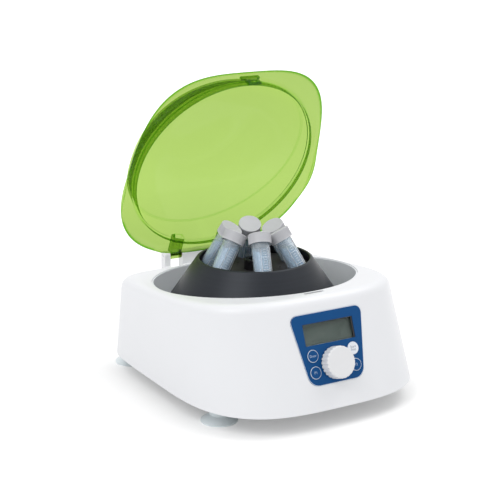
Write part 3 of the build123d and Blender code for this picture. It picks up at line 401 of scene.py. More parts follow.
# %% [markdown]
# The lid is one clear tinted moulding with a thin wall. Light crosses the wall's two faces
# and takes a part of the tint at each. Where a wall is seen side-on, many faces lie behind
# each other and the tint would add up to black, so Layer Weight, which tells how steeply a
# face is seen, mixes in a lighter green there. The rims are the opposite: light collects a
# deep green in them, and the mask of the edges paints it in. A wall this thin hardly bends
# light, so the index is 1, which also keeps rays from being trapped inside. The gloss comes
# from the coat instead, on the outer faces only. Light on its way to the table is let
# through with a low Alpha for shadow rays and diffuse rays, because a path tracer finds
# such light slowly.

# %% Clear tinted plastic
CLEAR_ROUGHNESS = 0.04
CLEAR_GLOSS = 0.25
RIM_WIDTH = 3 * MM


def clear_tinted(name, tint, side_on, painted_rim_tint, alpha_in_shadow, rim_amount):
    """Clear coloured plastic with painted deep tint at its rims, lighter where seen
    side-on.
    """
    material, tree, shader = start_material(name, CLEAR_ROUGHNESS)
    shader.inputs["Transmission Weight"].default_value = 1.0
    shader.inputs["IOR"].default_value = 1.0
    inside = add_node(tree, "ShaderNodeNewGeometry").outputs["Backfacing"]
    gloss = calc(tree, "MULTIPLY_ADD", inside, -CLEAR_GLOSS, CLEAR_GLOSS)
    feed(tree, gloss, shader.inputs["Coat Weight"])
    skin = group_node(tree, moulded, Grain_Scale=60.0, Grain_Depth=0.05, Patch_Size=14.0,
                      Patch_Amount=0.05)
    edge_on = add_node(tree, "ShaderNodeLayerWeight", Blend=0.35).outputs["Facing"]
    # Painted rim shade: the edge mask mixes a deep tint into the rims.
    rim = group_node(tree, wear_and_rim_shade, Width=RIM_WIDTH, Amount=rim_amount).outputs["Mask"]
    rim = calc(tree, "MINIMUM", rim, 1.0, clamp=True)
    tone = add_node(tree, "ShaderNodeVectorMath", operation="SCALE")
    base = mixed(tree, calc(tree, "POWER", edge_on, 3.0), tint, side_on)
    feed(tree, mixed(tree, rim, base, painted_rim_tint), tone.inputs[0])
    feed(tree, skin.outputs["Tone"], tone.inputs["Scale"])
    feed(tree, tone.outputs[0], shader.inputs["Base Color"])
    uneven = calc(tree, "ADD", skin.outputs["Shine"], CLEAR_ROUGHNESS, clamp=True)
    feed(tree, uneven, shader.inputs["Roughness"])
    ways = add_node(tree, "ShaderNodeLightPath").outputs
    soft_ray = calc(tree, "MAXIMUM", ways["Is Shadow Ray"], ways["Is Diffuse Ray"])
    solid = calc(tree, "MULTIPLY_ADD", soft_ray, alpha_in_shadow - 1.0, 1.0)
    feed(tree, solid, shader.inputs["Alpha"])
    return material


lid_green = clear_tinted("lid green", (0.332, 0.48, 0.116, 1), (0.40, 0.60, 0.10, 1),
                         (0.11, 0.33, 0.008, 1), 0.02, 2.6)
window_clear = clear_tinted("window clear", (0.86, 0.90, 0.88, 1), (0.5, 0.55, 0.53, 1),
                            (0.3, 0.33, 0.32, 1), 0.1, 0.3)
print("clear finishes:", lid_green.name, window_clear.name)

# %% [markdown]
# The feet are soft, slightly clear rubber with a blue-grey cast. A true volume would be
# slow to render, and a small transmission weight lets enough light through for a piece this
# small.

# %% Feet
foot_rubber, tree, shader = start_material("foot rubber", 0.35)
finish_surface(tree, shader, (0.87, 0.95, 0.98, 1), 0.35, grain=(900.0, 0.5),
               patches=(70.0, 0.1), wear=0.15)
shader.inputs["Transmission Weight"].default_value = 0.15
shader.inputs["Coat Weight"].default_value = 0.2
print("feet finish ready")

# %% [markdown]
# The circuit boards lie inside the casing. They still get a finish of their own: green
# lacquer over copper tracks. Real tracks would need a drawing; thin lines where the cells
# of a Voronoi texture meet are enough for a part that is seldom seen.

# %% Circuit board
LACQUER_GREEN = (0.015, 0.12, 0.05, 1)
TRACK_GREEN = (0.05, 0.24, 0.10, 1)
TRACK_WIDTH = 0.08
board_green, tree, shader = start_material("circuit board", 0.4, coat=0.4)
where = add_node(tree, "ShaderNodeTexCoord").outputs["Object"]
cells = add_node(tree, "ShaderNodeTexVoronoi", feature="DISTANCE_TO_EDGE", Scale=220.0)
feed(tree, where, cells.inputs["Vector"])
track = calc(tree, "LESS_THAN", cells.outputs["Distance"], TRACK_WIDTH)
lacquer = mixed(tree, track, LACQUER_GREEN, TRACK_GREEN)
finish_surface(tree, shader, lacquer, 0.4, wear=0.0)
print("board finish ready")

# %% [markdown]
# The panel is a printed plastic film. Its blue is even, with a very fine pebbled surface
# that keeps fingerprints away. Film of this kind reflects little, so the specular level
# goes down and the blue stays deep. The pale line at its edge is a piece of its own,
# further down.

# %% Panel film
BLUE = (0.004, 0.066, 0.215, 1)
panel_blue, tree, shader = start_material("panel blue", 0.4)
shader.inputs["Specular IOR Level"].default_value = 0.15
finish_surface(tree, shader, BLUE, 0.4, grain=(2500.0, 0.6), patches=(40.0, 0.12), wear=0.0)
print("panel film ready")

# %% [markdown]
# A switched-off display is grey-green, darker towards the side that its deep frame shades,
# and shows a faint grid of the cells behind the polariser. The grid could be an image, but
# then it would need a drawing and a place to lie. Two triangle waves along the panel's own
# directions make it here, and a Mapping node turns object coordinates into those
# directions.

# %% Display
CELL = 0.3 * MM
GRID_LINE = 0.03 * MM
LIT_GREY = (0.092, 0.118, 0.106, 1)
SHADED_GREY = (0.06, 0.08, 0.073, 1)
GRID_GREY = (0.05, 0.065, 0.058, 1)
GRID_STRENGTH = 0.25
SHADE_GROWTH = 3.0
SHADE_AT_MIDDLE = 0.35


def place_on(tree, place):
    """Object coordinates turned into those of a frame: its x, y and z."""
    where = add_node(tree, "ShaderNodeTexCoord").outputs["Object"]
    own = add_node(tree, "ShaderNodeMapping", vector_type="TEXTURE")
    own.inputs["Location"].default_value = place.translation
    own.inputs["Rotation"].default_value = place.to_euler()
    feed(tree, where, own.inputs["Vector"])
    split = add_node(tree, "ShaderNodeSeparateXYZ")
    feed(tree, own.outputs[0], split.inputs[0])
    return split.outputs


display_grey, tree, shader = start_material("display grey-green", 0.3, coat=0.5)
across, up, _ = place_on(tree, PANEL)
cell = calc(tree, "PINGPONG", across, CELL)
row = calc(tree, "PINGPONG", up, CELL)
grid = calc(tree, "LESS_THAN", calc(tree, "MINIMUM", cell, row), GRID_LINE)
shade = calc(tree, "MULTIPLY_ADD", across, SHADE_GROWTH, SHADE_AT_MIDDLE, clamp=True)
off = mixed(tree, shade, LIT_GREY, SHADED_GREY)
off = mixed(tree, calc(tree, "MULTIPLY", grid, GRID_STRENGTH), off, GRID_GREY)
finish_surface(tree, shader, off, 0.3, grain=(1500.0, 0.1), patches=(30.0, 0.1), wear=0.0)
print("display finish ready")

# %% [markdown]
# Three keys are discs of the panel's blue, and the start key is a pale one. All four have a
# thin printed ring near the rim. The ring is painted by distance from the key's own centre,
# so one function makes the finish for each of the four places.

# %% Keys
INK = (0.70, 0.78, 0.88, 1)
KEY_WHITE = (0.78, 0.81, 0.86, 1)
RING_RADIUS = 7.75 * MM
RING_WIDTH = 0.65 * MM
RING_BLUR = 0.08 * MM
KEY_ACROSS = 31 * MM
UPPER_KEYS = -27.2 * MM
LOWER_KEYS = -48.6 * MM


def ring_print(name, centre, ground):
    """A disc finish with one printed ring, centred on a place of the panel."""
    material, tree, shader = start_material(name, 0.38)
    shader.inputs["Specular IOR Level"].default_value = 0.15
    across, up, _ = place_on(tree, PANEL)
    dx = calc(tree, "SUBTRACT", across, centre[0])
    dy = calc(tree, "SUBTRACT", up, centre[1])
    far = calc(tree, "MULTIPLY_ADD", dy, dy, calc(tree, "MULTIPLY", dx, dx))
    off_ring = calc(tree, "SUBTRACT", calc(tree, "SQRT", far), RING_RADIUS)
    off_ring = calc(tree, "ABSOLUTE", off_ring)
    inked = calc(tree, "SUBTRACT", RING_WIDTH / 2, off_ring)
    inked = calc(tree, "MULTIPLY", inked, 1 / RING_BLUR, clamp=True)
    finish_surface(tree, shader, mixed(tree, inked, ground, INK), 0.38, grain=(2400.0, 0.5),
                   patches=(50.0, 0.1), wear=0.0)
    return material


key_places = {
    "key_open_lid": (-KEY_ACROSS, UPPER_KEYS),
    "key_preset_one": (-KEY_ACROSS, LOWER_KEYS),
    "key_start_stop": (KEY_ACROSS, UPPER_KEYS),
    "key_preset_two": (KEY_ACROSS, LOWER_KEYS),
}
key_finish = {}
for name, spot in key_places.items():
    ground = KEY_WHITE if name == "key_start_stop" else BLUE
    key_finish[name] = ring_print(name.replace("_", " "), spot, ground)
print("key finishes:", len(key_finish))

# %% [markdown]
# A sample tube is milky clear plastic with a scale and a writing patch printed on it. The
# print could be made of small meshes, but ink has no thickness, so it is painted in the
# material. In the tube's own frame, height runs along the axis and an angle goes round it.
# Ticks are thin bands of height inside a narrow range of angle, between two upright lines;
# the patch is a wider range of both.

# %% Print of a tube
FINE_TICKS = (3.5 * MM, 0.32 * MM, 0.16)
COARSE_TICKS = (17.5 * MM, 0.48 * MM, 0.34)
UPRIGHT_ANGLES = (0.425, 0.495)
SCALE_HEIGHTS = (-96 * MM, -24 * MM)
PATCH_ANGLES = (0.77, 1.53)
PATCH_HEIGHTS = (-66 * MM, -20 * MM)


def band(tree, value, low, high):
    """One where a value lies between two limits, else zero."""
    above = calc(tree, "GREATER_THAN", value, low)
    return calc(tree, "MULTIPLY", above, calc(tree, "LESS_THAN", value, high))


def ticks(tree, height, side, gap, thick, reach):
    """Thin lines at even heights, which reach as far as an angle on both sides."""
    line = calc(tree, "LESS_THAN", calc(tree, "PINGPONG", height, gap / 2), thick / 2)
    return calc(tree, "MULTIPLY", line, calc(tree, "LESS_THAN", side, reach))


def tube_print(tree, place, turn):
    """One where the scale and the writing patch are printed, else zero."""
    x, y, height = place_on(tree, place)
    angle = calc(tree, "SUBTRACT", calc(tree, "ARCTAN2", y, x), turn)
    angle = calc(tree, "WRAP", angle, math.pi, -math.pi)
    side = calc(tree, "ABSOLUTE", angle)
    scale = calc(tree, "MAXIMUM", ticks(tree, height, side, *FINE_TICKS),
                 ticks(tree, height, side, *COARSE_TICKS))
    scale = calc(tree, "MAXIMUM", scale, band(tree, side, *UPRIGHT_ANGLES))
    scale = calc(tree, "MULTIPLY", scale, band(tree, height, *SCALE_HEIGHTS))
    patch = calc(tree, "MULTIPLY", band(tree, angle, *PATCH_ANGLES),
                 band(tree, height, *PATCH_HEIGHTS))
    return calc(tree, "MAXIMUM", scale, patch)


print("scale heights:", SCALE_HEIGHTS, "patch heights:", PATCH_HEIGHTS)

# %% [markdown]
# The wall of a tube could be true clear plastic, but then a path tracer has to find its way
# through wall, filling and wall. A part of the transmission and an Alpha below one give the
# same milky look with less noise, and the print stays solid. Each tube is put in with its
# print facing another way. The filling is a plain blue liquid.

# %% Tube plastic and filling
TUBE_CLEAR = (0.80, 0.88, 0.94, 1)
PRINT_WHITE = (0.92, 0.93, 0.95, 1)
TUBE_TURNS = (12, -40, -120, 180, 120, 72)
TUBE_TRANSMISSION = 0.72
TUBE_INDEX = 1.3
OPEN_SHARE = 0.35
MORE_OPEN_IN_SHADOW = 0.45


def tube_plastic(name, place, turn):
    """Clear tube with printed ticks and a white patch, turned about its own axis."""
    material, tree, shader = start_material(name, 0.18)
    shader.inputs["Transmission Weight"].default_value = TUBE_TRANSMISSION
    shader.inputs["IOR"].default_value = TUBE_INDEX
    inked = tube_print(tree, place, turn)
    skin = group_node(tree, moulded, Grain_Scale=400.0, Grain_Depth=0.15, Patch_Size=90.0,
                      Patch_Amount=0.12)
    feed(tree, mixed(tree, inked, TUBE_CLEAR, PRINT_WHITE), shader.inputs["Base Color"])
    rough = calc(tree, "MULTIPLY_ADD", inked, 0.4, 0.16)
    rough = calc(tree, "ADD", rough, skin.outputs["Shine"], clamp=True)
    feed(tree, rough, shader.inputs["Roughness"])
    feed(tree, skin.outputs["Normal"], shader.inputs["Normal"])
    shadow = add_node(tree, "ShaderNodeLightPath").outputs["Is Shadow Ray"]
    clear = calc(tree, "SUBTRACT", 1.0, inked)
    open_share = calc(tree, "MULTIPLY_ADD", shadow, MORE_OPEN_IN_SHADOW, OPEN_SHARE)
    see_through = calc(tree, "MULTIPLY", clear, open_share)
    feed(tree, calc(tree, "SUBTRACT", 1.0, see_through), shader.inputs["Alpha"])
    return material


tube_finish = [tube_plastic(f"tube plastic {i}", tube_frame(a), math.radians(turn))
               for i, (a, turn) in enumerate(zip(TUBE_ANGLES, TUBE_TURNS), 1)]
liquid_blue, tree, shader = start_material("sample liquid", 0.12)
finish_surface(tree, shader, (0.33, 0.49, 0.65, 1), 0.12, grain=(60.0, 0.05),
               patches=(40.0, 0.2), wear=0.0)
shader.inputs["Transmission Weight"].default_value = 0.35
shader.inputs["IOR"].default_value = 1.33
print("tube finishes:", len(tube_finish))

# %% [markdown]
# ## Dress the solid parts
# Each solid part gets its finish by name. One dictionary keeps the pairs in one place, and
# a second one lists the parts that share a finish. A part that neither names stops the
# script, because a forgotten finish is a mistake worth stopping for.

# %% Put the finishes on
dress = {
    "casing_shell": casing_white, "hinge_block": hinge_white, "chamber_bowl": bowl_paint,
    "underside_plate": underside_grey, "rotor_body": rotor_slate, "rotor_core": core_black,
    "rotor_nut": nut_black, "motor_housing": motor_aluminium, "control_panel": panel_blue,
    "display_window": window_clear, "display_module": display_grey,
    "selector_knob": knob_white, "hinge_washers": washer_brass,
    "power_rocker": rocker_black, "transformer": transformer_dark,
    "tube_contents": liquid_blue, **key_finish,
}
shared = {
    lid_green: ("lid_shell", "latch_tab"),
    socket_black: ("mains_inlet", "power_switch_frame"),
    steel: ("motor_shaft", "hinge_pin", "lock_bolt", "encoder_shaft", "motor_bearing",
            "underside_screws", "bowl_screws"),
    sheet_steel: ("bowl_posts", "motor_mount_plate", "lock_bracket", "lock_solenoid"),
    rubber_black: ("motor_dampers", "chamber_seal"),
    board_green: ("control_board", "power_board"),
    part_black: ("key_switches", "encoder_body", "lid_switch", "motor_controller",
                 "imbalance_sensor"),
}
for material, names in shared.items():
    dress.update(dict.fromkeys(names, material))
for name in nodes:
    if name.startswith("foot_"):
        dress[name] = foot_rubber
for i, material in enumerate(tube_finish, 1):
    dress[f"tube_{i}"] = material
    dress[f"tube_cap_{i}"] = cap_grey
for name, node in nodes.items():
    node.data.materials.clear()
    node.data.materials.append(dress[name])
print("dressed", len(nodes), "parts")

# %% [markdown]
# CAD solids arrive with flat facets. Smooth shading by angle hides them on round faces and
# keeps true edges sharp. It changes no vertex, so the shapes stay exactly as they were.

# %% Smooth the round faces
SHARP_FROM = 28
FLAT_PARTS = ("control_board", "power_board")
smooth_names = [n for n in nodes if n not in FLAT_PARTS]
for name in smooth_names:
    bpy.ops.object.select_all(action="DESELECT")
    nodes[name].select_set(True)
    bpy.context.view_layer.objects.active = nodes[name]
    bpy.ops.object.shade_smooth()
    nodes[name].data.set_sharp_from_angle(angle=math.radians(SHARP_FROM))
print("smoothed", len(smooth_names), "parts")

# %% [markdown]
# ## New pieces
# Every new piece starts as a bmesh, a mesh that is edited in memory. One helper turns it
# into an object at the origin, gives it a finish, and ties it to the body that it moves
# with.

# %% Keep a new piece
NEW_SHARP_FROM = 30


def keep(bm, name, body, material, place=None, replaces=()):
    """Finish a bmesh as a piece of the device."""
    if place is not None:
        bmesh.ops.transform(bm, matrix=place, verts=bm.verts)
    bmesh.ops.recalc_face_normals(bm, faces=bm.faces)
    mesh = bpy.data.meshes.new(name)
    bm.to_mesh(mesh)
    bm.free()
    mesh.shade_smooth()
    mesh.set_sharp_from_angle(angle=math.radians(NEW_SHARP_FROM))
    mesh.materials.append(material)
    piece = bpy.data.objects.new(name, mesh)
    bpy.context.scene.collection.objects.link(piece)
    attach(piece, body)
    if replaces:
        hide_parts(*replaces)
    return piece


print("pieces can be kept")

# %% [markdown]
# Four more helpers name what is done to a bmesh again and again: pick faces by a test, cut
# level, round off edges, and add a box. Blender's own operators do the work.


# %% Work on a bmesh
def faces_where(bm, test):
    """The faces whose middle passes a test."""
    return [f for f in bm.faces if test(f.calc_center_median())]


def cut_level(bm, level, **sides):
    """Cut a bmesh with a level plane."""
    everything = bm.verts[:] + bm.edges[:] + bm.faces[:]
    bmesh.ops.bisect_plane(bm, geom=everything, plane_co=(0, 0, level),
                           plane_no=(0, 0, 1), **sides)


def soften(bm, edges, width, segments=2):
    """Round off edges of a bmesh."""
    bmesh.ops.bevel(bm, geom=edges, offset=width, segments=segments, profile=0.5,
                    material=-1, affect="EDGES")


def slab(bm, size, middle):
    """Add a box to a bmesh."""
    made = bmesh.ops.create_cube(bm, size=1.0)["verts"]
    bmesh.ops.scale(bm, vec=size, verts=made)
    bmesh.ops.translate(bm, vec=middle, verts=made)


print("bmesh helpers ready")

# %% [markdown]
# A screw cap has fine ribs for the fingers and a plain band at its foot. A cap could be cut
# with many small boxes; here a cylinder with many sides is cut at two levels, and every
# second face between them is pushed in a little with inset, which gives true ribs with a
# soft step. The rim of the top is bevelled.

# %% Ribbed screw caps
CAP_RADIUS = 15.8 * MM
CAP_HEIGHT = 14.5 * MM
CAP_BORE = 12.8 * MM
CAP_WALL = 2 * MM
RIBS = 56
RIB_DEPTH = 0.3 * MM
RIB_TOP = -1.6 * MM
RIB_FOOT = -CAP_HEIGHT + 2.4 * MM


def in_rib_band(c):
    """Whether a face's middle lies on the ribbed part of the cap's side."""
    return RIB_FOOT < c.z < RIB_TOP and math.hypot(c.x, c.y) > CAP_RADIUS * 0.98


def round_the_axis(face):
    """The angle at which a face lies, to put faces in order."""
    middle = face.calc_center_median()
    return math.atan2(middle.y, middle.x)


def ribbed_cap():
    """A screw cap, its top at the origin and its open end below."""
    bm = bmesh.new()
    bmesh.ops.create_cone(bm, cap_ends=True, segments=2 * RIBS, radius1=CAP_RADIUS,
                          radius2=CAP_RADIUS, depth=CAP_HEIGHT)
    bmesh.ops.translate(bm, vec=(0, 0, -CAP_HEIGHT / 2), verts=bm.verts)
    for level in (RIB_TOP, RIB_FOOT):
        cut_level(bm, level)
    top = faces_where(bm, lambda c: c.z > -0.01 * MM)
    soften(bm, list({e for f in top for e in f.edges}), 0.9 * MM, segments=3)
    top = [f for f in bm.faces if f.normal.z > 0.99]
    bmesh.ops.inset_region(bm, faces=top, thickness=1.2 * MM, depth=-0.25 * MM)
    ribs = sorted(faces_where(bm, in_rib_band), key=round_the_axis)
    bmesh.ops.inset_individual(bm, faces=ribs[::2], thickness=0.12 * MM, depth=-RIB_DEPTH)
    bottom = [f for f in bm.faces if f.normal.z < -0.99]
    bmesh.ops.inset_region(bm, faces=bottom, thickness=CAP_RADIUS - CAP_BORE)
    inner = [f for f in bm.faces
             if f.normal.z < -0.99 and f.calc_center_median().xy.length < 1 * MM]
    raised = list({v for f in inner for v in f.verts})
    bmesh.ops.translate(bm, vec=(0, 0, CAP_HEIGHT - CAP_WALL), verts=raised)
    return bm


for i, angle in enumerate(TUBE_ANGLES, 1):
    cap = keep(ribbed_cap(), f"ribbed_cap_{i}", "rotor", cap_grey, tube_frame(angle),
               replaces=(f"tube_cap_{i}",))
print("caps:", TUBES, "triangles each", sum(len(p.vertices) - 2 for p in cap.data.polygons))

# %% [markdown]
# What is in the tubes lies level although they lean. The inner form of a tube is spun from
# half its outline, put in place, cut with a level plane and closed again. Cutting is exact
# and keeps the round wall, where a boolean would need a second solid.

# %% Level fillings
HALF_OUTLINE = ((0, -16), (11.2, -16), (11.2, -98.8), (9.5, -101.5), (2.8, -111.6),
                (0, -111.8))
LEVELS = (194, 190, 192, 188, 193, 195)


def filling(place, level):
    """The inside of one tube, up to a level height."""
    bm = bmesh.new()
    points = [bm.verts.new((x * MM, 0, z * MM)) for x, z in HALF_OUTLINE]
    edges = [bm.edges.new(pair) for pair in zip(points, points[1:])]
    bmesh.ops.spin(bm, geom=points + edges, cent=(0, 0, 0), axis=(0, 0, 1),
                   angle=math.tau, steps=48, use_merge=True)
    bmesh.ops.remove_doubles(bm, verts=bm.verts, dist=0.001 * MM)
    bmesh.ops.transform(bm, matrix=place, verts=bm.verts)
    cut_level(bm, level, clear_outer=True)
    bmesh.ops.edgeloop_fill(bm, edges=[e for e in bm.edges if e.is_boundary])
    return bm


bm = bmesh.new()
for angle, level in zip(TUBE_ANGLES, LEVELS):
    one = filling(tube_frame(angle), level * MM)
    kept = bpy.data.meshes.new("one filling")
    one.to_mesh(kept)
    one.free()
    bm.from_mesh(kept)
    bpy.data.meshes.remove(kept)
liquid = keep(bm, "level_fillings", "rotor", liquid_blue,
              replaces=("tube_contents",))
print("fillings:", len(LEVELS), "vertices", len(liquid.data.vertices))

# %% [markdown]
# ## Panel details
# The panel film ends in a thin pale line. Its outline is a four-sided shape with two corner
# radii, so a face with four vertices is bevelled at its corners, and inset gives the line's
# inner edge. The casing's front is slightly curved, so each vertex is then dropped onto the
# film along the panel's own direction. A BVH tree answers where such a ray meets the film.

# %% Pale border of the panel
FILM_CORNERS = ((-41, -66), (41, -66), (56, 27), (-56, 27))
FILM_RADII = (13.63, 13.63, 11.74, 11.74)
TRIM = 0.08 * MM
LINE_WIDTH = 0.5 * MM
LINE_HEIGHT = 0.07 * MM
RAY_START = 0.05


def drop_on(bm, target, direction):
    """Move each vertex along a direction onto a mesh."""
    tree = BVHTree.FromObject(target, bpy.context.evaluated_depsgraph_get())
    for v in bm.verts:
        hit = tree.ray_cast(v.co + direction * RAY_START, -direction)[0]
        if hit is not None:
            v.co = hit


def inwards(value):
    """A measure in millimetres, moved towards the middle by the trim."""
    return value * MM - math.copysign(TRIM, value)


def rounded_face(corners, radii):
    """A flat face with each corner rounded by its own radius."""
    bm = bmesh.new()
    points = [bm.verts.new((x, y, 0)) for x, y in corners]
    bm.faces.new(points)
    for point, radius in zip(points, radii):
        bmesh.ops.bevel(bm, geom=[point], offset=radius, offset_type="OFFSET", segments=10,
                        profile=0.5, material=-1, affect="VERTICES")
    return bm


bm = rounded_face([(inwards(x), inwards(y)) for x, y in FILM_CORNERS],
                  [radius * MM for radius in FILM_RADII])
bmesh.ops.inset_region(bm, faces=bm.faces[:], thickness=LINE_WIDTH, use_boundary=True,
                       use_even_offset=True)
bmesh.ops.delete(bm, geom=[f for f in bm.faces if len(f.verts) > 4], context="FACES")
runs = [e for e in bm.edges if e.calc_length() > 20 * MM]
bmesh.ops.subdivide_edges(bm, edges=runs, cuts=15, use_grid_fill=True)
bmesh.ops.transform(bm, matrix=PANEL, verts=bm.verts)
drop_on(bm, nodes["control_panel"], panel_out)
bmesh.ops.recalc_face_normals(bm, faces=bm.faces)
bmesh.ops.solidify(bm, geom=bm.faces[:], thickness=-LINE_HEIGHT)
loose = sum(edge.is_boundary for edge in bm.edges)
ink_white = plain("ink white", INK[:3], 0.45, grain=(2400.0, 0.4), wear=0.0)
border = keep(bm, "panel_border", "base", ink_white)
print("border vertices", len(border.data.vertices), "open edges", loose)

# %% [markdown]
# Words are drawn by Blender's own text, which is turned into a mesh because a text object
# can't keep its place in its vertices. They are a few hundredths of a millimetre thick,
# like screen print.

# %% Printed words on the keys
INK_HEIGHT = 0.03 * MM
KEY_TOP = 1.0 * MM
LINE_PITCH = 0.85


def lettering(words, size, name, place, body, ink):
    """Words as a thin mesh on a frame."""
    curve = bpy.data.curves.new(name, "FONT")
    curve.body = words
    curve.size = size
    curve.align_x = curve.align_y = "CENTER"
    curve.space_line = LINE_PITCH
    curve.extrude = INK_HEIGHT
    curve.resolution_u = 3
    holder = bpy.data.objects.new(name + "_text", curve)
    bpy.context.scene.collection.objects.link(holder)
    now = bpy.context.evaluated_depsgraph_get()
    flat = bpy.data.meshes.new_from_object(holder, depsgraph=now)
    bm = bmesh.new()
    bm.from_mesh(flat)
    bmesh.ops.remove_doubles(bm, verts=bm.verts, dist=0.001 * MM)
    bpy.data.objects.remove(holder)
    bpy.data.meshes.remove(flat)
    return keep(bm, name, body, ink, place)


grey_ink = plain("ink grey", (0.20, 0.24, 0.30), 0.5, grain=(2400.0, 0.4), wear=0.0)
pale_ink = plain("ink pale blue", (0.42, 0.52, 0.66), 0.5, grain=(2400.0, 0.4), wear=0.0)
words = {
    "key_open_lid": ("Door", 4.6, "open_lid_key", "key", pale_ink),
    "key_preset_one": ("P1", 4.8, "preset_one_key", "key", pale_ink),
    "key_start_stop": ("Start\nStop", 4.4, "start_stop_key", "key_start", grey_ink),
    "key_preset_two": ("P2", 4.8, "preset_two_key", "key", pale_ink),
}
for node_name, (text, size, body, slot, ink) in words.items():
    x, y = key_places[node_name]
    spot = PANEL @ Matrix.Translation((x, y, KEY_TOP))
    piece = lettering(text, size * MM, "word_" + node_name[4:], spot, body, ink)
    print(piece.name, len(piece.data.vertices))

# %% [markdown]
# The display lies deep in its opening. Its frame shades the display's top and two sides,
# so these look black, while the white sill below catches the light. Three thin dark slabs
# with softened edges along the two sides and the top paint this shade in.

# %% Painted shade in the display's opening
HALF_WIDE, HALF_TALL = 38.55 * MM, 14.15 * MM
RIGHT_WALL, THIN_WALL = 2.2 * MM, 0.9 * MM
SHADE_LINING_DEPTH = 2.1 * MM
SHADE_LINING_PLACE = -2.0 * MM
# Dark slabs of painted shade along the opening's top and two sides.
bm = bmesh.new()
for side, wall in ((-1, THIN_WALL), (1, RIGHT_WALL)):
    middle = side * (HALF_WIDE - wall / 2)
    slab(bm, (wall, 2 * HALF_TALL, SHADE_LINING_DEPTH), (middle, 0, SHADE_LINING_PLACE))
slab(bm, (2 * HALF_WIDE, THIN_WALL, SHADE_LINING_DEPTH),
     (0, HALF_TALL - THIN_WALL / 2, SHADE_LINING_PLACE))
soften(bm, bm.edges[:], 0.06 * MM)
shade_lining = keep(bm, "display_shade_lining", "base", socket_black, PANEL)
print("shade lining faces", len(shade_lining.data.polygons))

# %% [markdown]
# ## Details at the back
# The mains inlet has three flat metal pins in a black socket. The solid inlet is one piece
# with one finish, so each pin gets a steel blade round it: a bevelled slab, a tenth of a
# millimetre larger than the solid pin.

# %% Inlet pins
INLET = (62, 62)
PINS = ((-7, -3.5), (0, -1), (7, -3.5))
BLADE = (2.1 * MM, 13.2 * MM, 4.1 * MM)
BLADE_Y = 159.1 * MM
bm = bmesh.new()
for x, z in PINS:
    slab(bm, BLADE, ((INLET[0] + x) * MM, BLADE_Y, (INLET[1] + z) * MM))
soften(bm, bm.edges[:], 0.4 * MM)
pins = keep(bm, "inlet_blades", "base", steel)
print("pin faces", len(pins.data.polygons))

# %% [markdown]
# The power switch carries the two usual marks, a bar for on and a ring for off. The rocker
# is shaped like a shallow V, so each mark gets the frame of its own half.

# %% Marks on the rocker
MARK_SIZE = 5.5 * MM
BACK_RIGHT = Vector((-1, 0, 0))
PIVOT = Vector((105 * MM, 163.6 * MM, 62 * MM))
CREST = PIVOT + Vector((0, 2.971 * MM, 0.418 * MM))
MARKS = (("I", "mark_on", 0, 4.9), ("O", "mark_off", 16, -4.4))
for text, name, lean, level in MARKS:
    a = math.radians(lean)
    up = Vector((0, -math.sin(a), math.cos(a)))
    out = Vector((0, math.cos(a), math.sin(a)))
    spot = placed(BACK_RIGHT, up, out, CREST + up * (level * MM))
    piece = lettering(text, MARK_SIZE, name, spot, "rocker", ink_white)
    print(piece.name, [round(v, 4) for v in spot.translation])

# %% [markdown]
# ## Studio
# The picture shows the device on a white ground with a soft grey shadow. The floor is a
# wide plane. Its own colour is pale, and some light of its own, for the camera, mirrors and
# clear plastic alone, lifts it to white. This light is weak near the device, where it would
# wash out the shadow, and grows with distance. A brighter lamp could do the same, but it
# would bleach the casing too.

# %% Floor
FLOOR_REACH = 8.0
NEAR_GLOW, FAR_GLOW = 0.2, 0.6
GLOW_FROM, GLOW_TO = 0.3, 1.4
PAPER = ((0.86, 0.86, 0.86, 1), (0.9, 0.9, 0.9, 1))
WHITE = (1, 1, 1, 1)


def seen_directly(tree):
    """One for the camera, mirrors and clear plastic, else zero."""
    ways = add_node(tree, "ShaderNodeLightPath").outputs
    seen = calc(tree, "MAXIMUM", ways["Is Camera Ray"], ways["Is Glossy Ray"])
    return calc(tree, "MAXIMUM", seen, ways["Is Transmission Ray"])


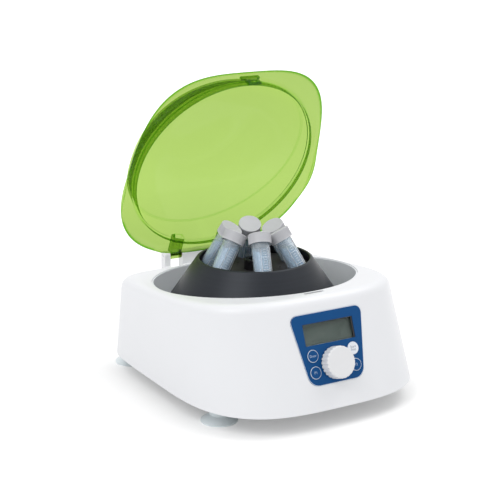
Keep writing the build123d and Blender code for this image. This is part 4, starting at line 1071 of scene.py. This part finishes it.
bm = bmesh.new()
bmesh.ops.create_grid(bm, x_segments=1, y_segments=1, size=FLOOR_REACH)
floor_mesh = bpy.data.meshes.new("floor")
bm.to_mesh(floor_mesh)
bm.free()
floor = bpy.data.objects.new("floor", floor_mesh)
bpy.context.scene.collection.objects.link(floor)
floor_paper, tree, shader = start_material("floor paper", 0.9)
where = add_node(tree, "ShaderNodeTexCoord").outputs["Object"]
fibre = add_node(tree, "ShaderNodeTexNoise", Scale=90.0, Detail=4.0)
feed(tree, where, fibre.inputs["Vector"])
feed(tree, mixed(tree, fibre.outputs["Fac"], *PAPER), shader.inputs["Base Color"])
distance = add_node(tree, "ShaderNodeVectorMath", operation="LENGTH")
feed(tree, where, distance.inputs[0])
away = add_node(tree, "ShaderNodeMapRange", interpolation_type="SMOOTHSTEP")
for value, socket in zip((GLOW_FROM, GLOW_TO, NEAR_GLOW, FAR_GLOW), list(away.inputs)[1:5]):
    socket.default_value = value
feed(tree, distance.outputs["Value"], away.inputs[0])
glow = calc(tree, "MULTIPLY", seen_directly(tree), away.outputs[0])
feed(tree, glow, shader.inputs["Emission Strength"])
shader.inputs["Emission Color"].default_value = WHITE
floor_mesh.materials.append(floor_paper)
print("floor ready")

# %% [markdown]
# The world gives even light from all sides. The camera, mirror-like reflections and clear
# plastic see it as plain white, while matt surfaces receive a lower level, so that pale
# parts keep their shading.

# %% World
LEVEL_ON_MATT = 0.73
world = bpy.data.worlds.new("studio")
bpy.context.scene.world = world
world.use_nodes = True
tree = world.node_tree
sky = tree.nodes["Background"]
sky.inputs["Color"].default_value = WHITE
level = calc(tree, "MULTIPLY_ADD", seen_directly(tree), 1 - LEVEL_ON_MATT, LEVEL_ON_MATT)
feed(tree, level, sky.inputs["Strength"])
print("world ready")

# %% [markdown]
# Two large soft boxes shape the form: the main one high on the left and in front, a weaker
# one on the right. Large lamps make soft shadows, as a light tent does.

# %% Lamps
LAMP_AIM = Vector((0, 0, 0.15))


def soft_box(name, place, size, power):
    """A square lamp that faces the middle of the device."""
    lamp = bpy.data.lights.new(name, "AREA")
    lamp.shape = "SQUARE"
    lamp.size = size
    lamp.energy = power
    holder = bpy.data.objects.new(name, lamp)
    bpy.context.scene.collection.objects.link(holder)
    holder.location = place
    holder.rotation_mode = "QUATERNION"
    holder.rotation_quaternion = (LAMP_AIM - Vector(place)).to_track_quat("-Z", "Y")


soft_box("main_lamp", (-1.5, -0.6, 2.0), size=1.4, power=18)
soft_box("side_lamp", (1.1, -0.2, 2.0), size=1.2, power=13)
bpy.context.scene.view_settings.view_transform = "Standard"
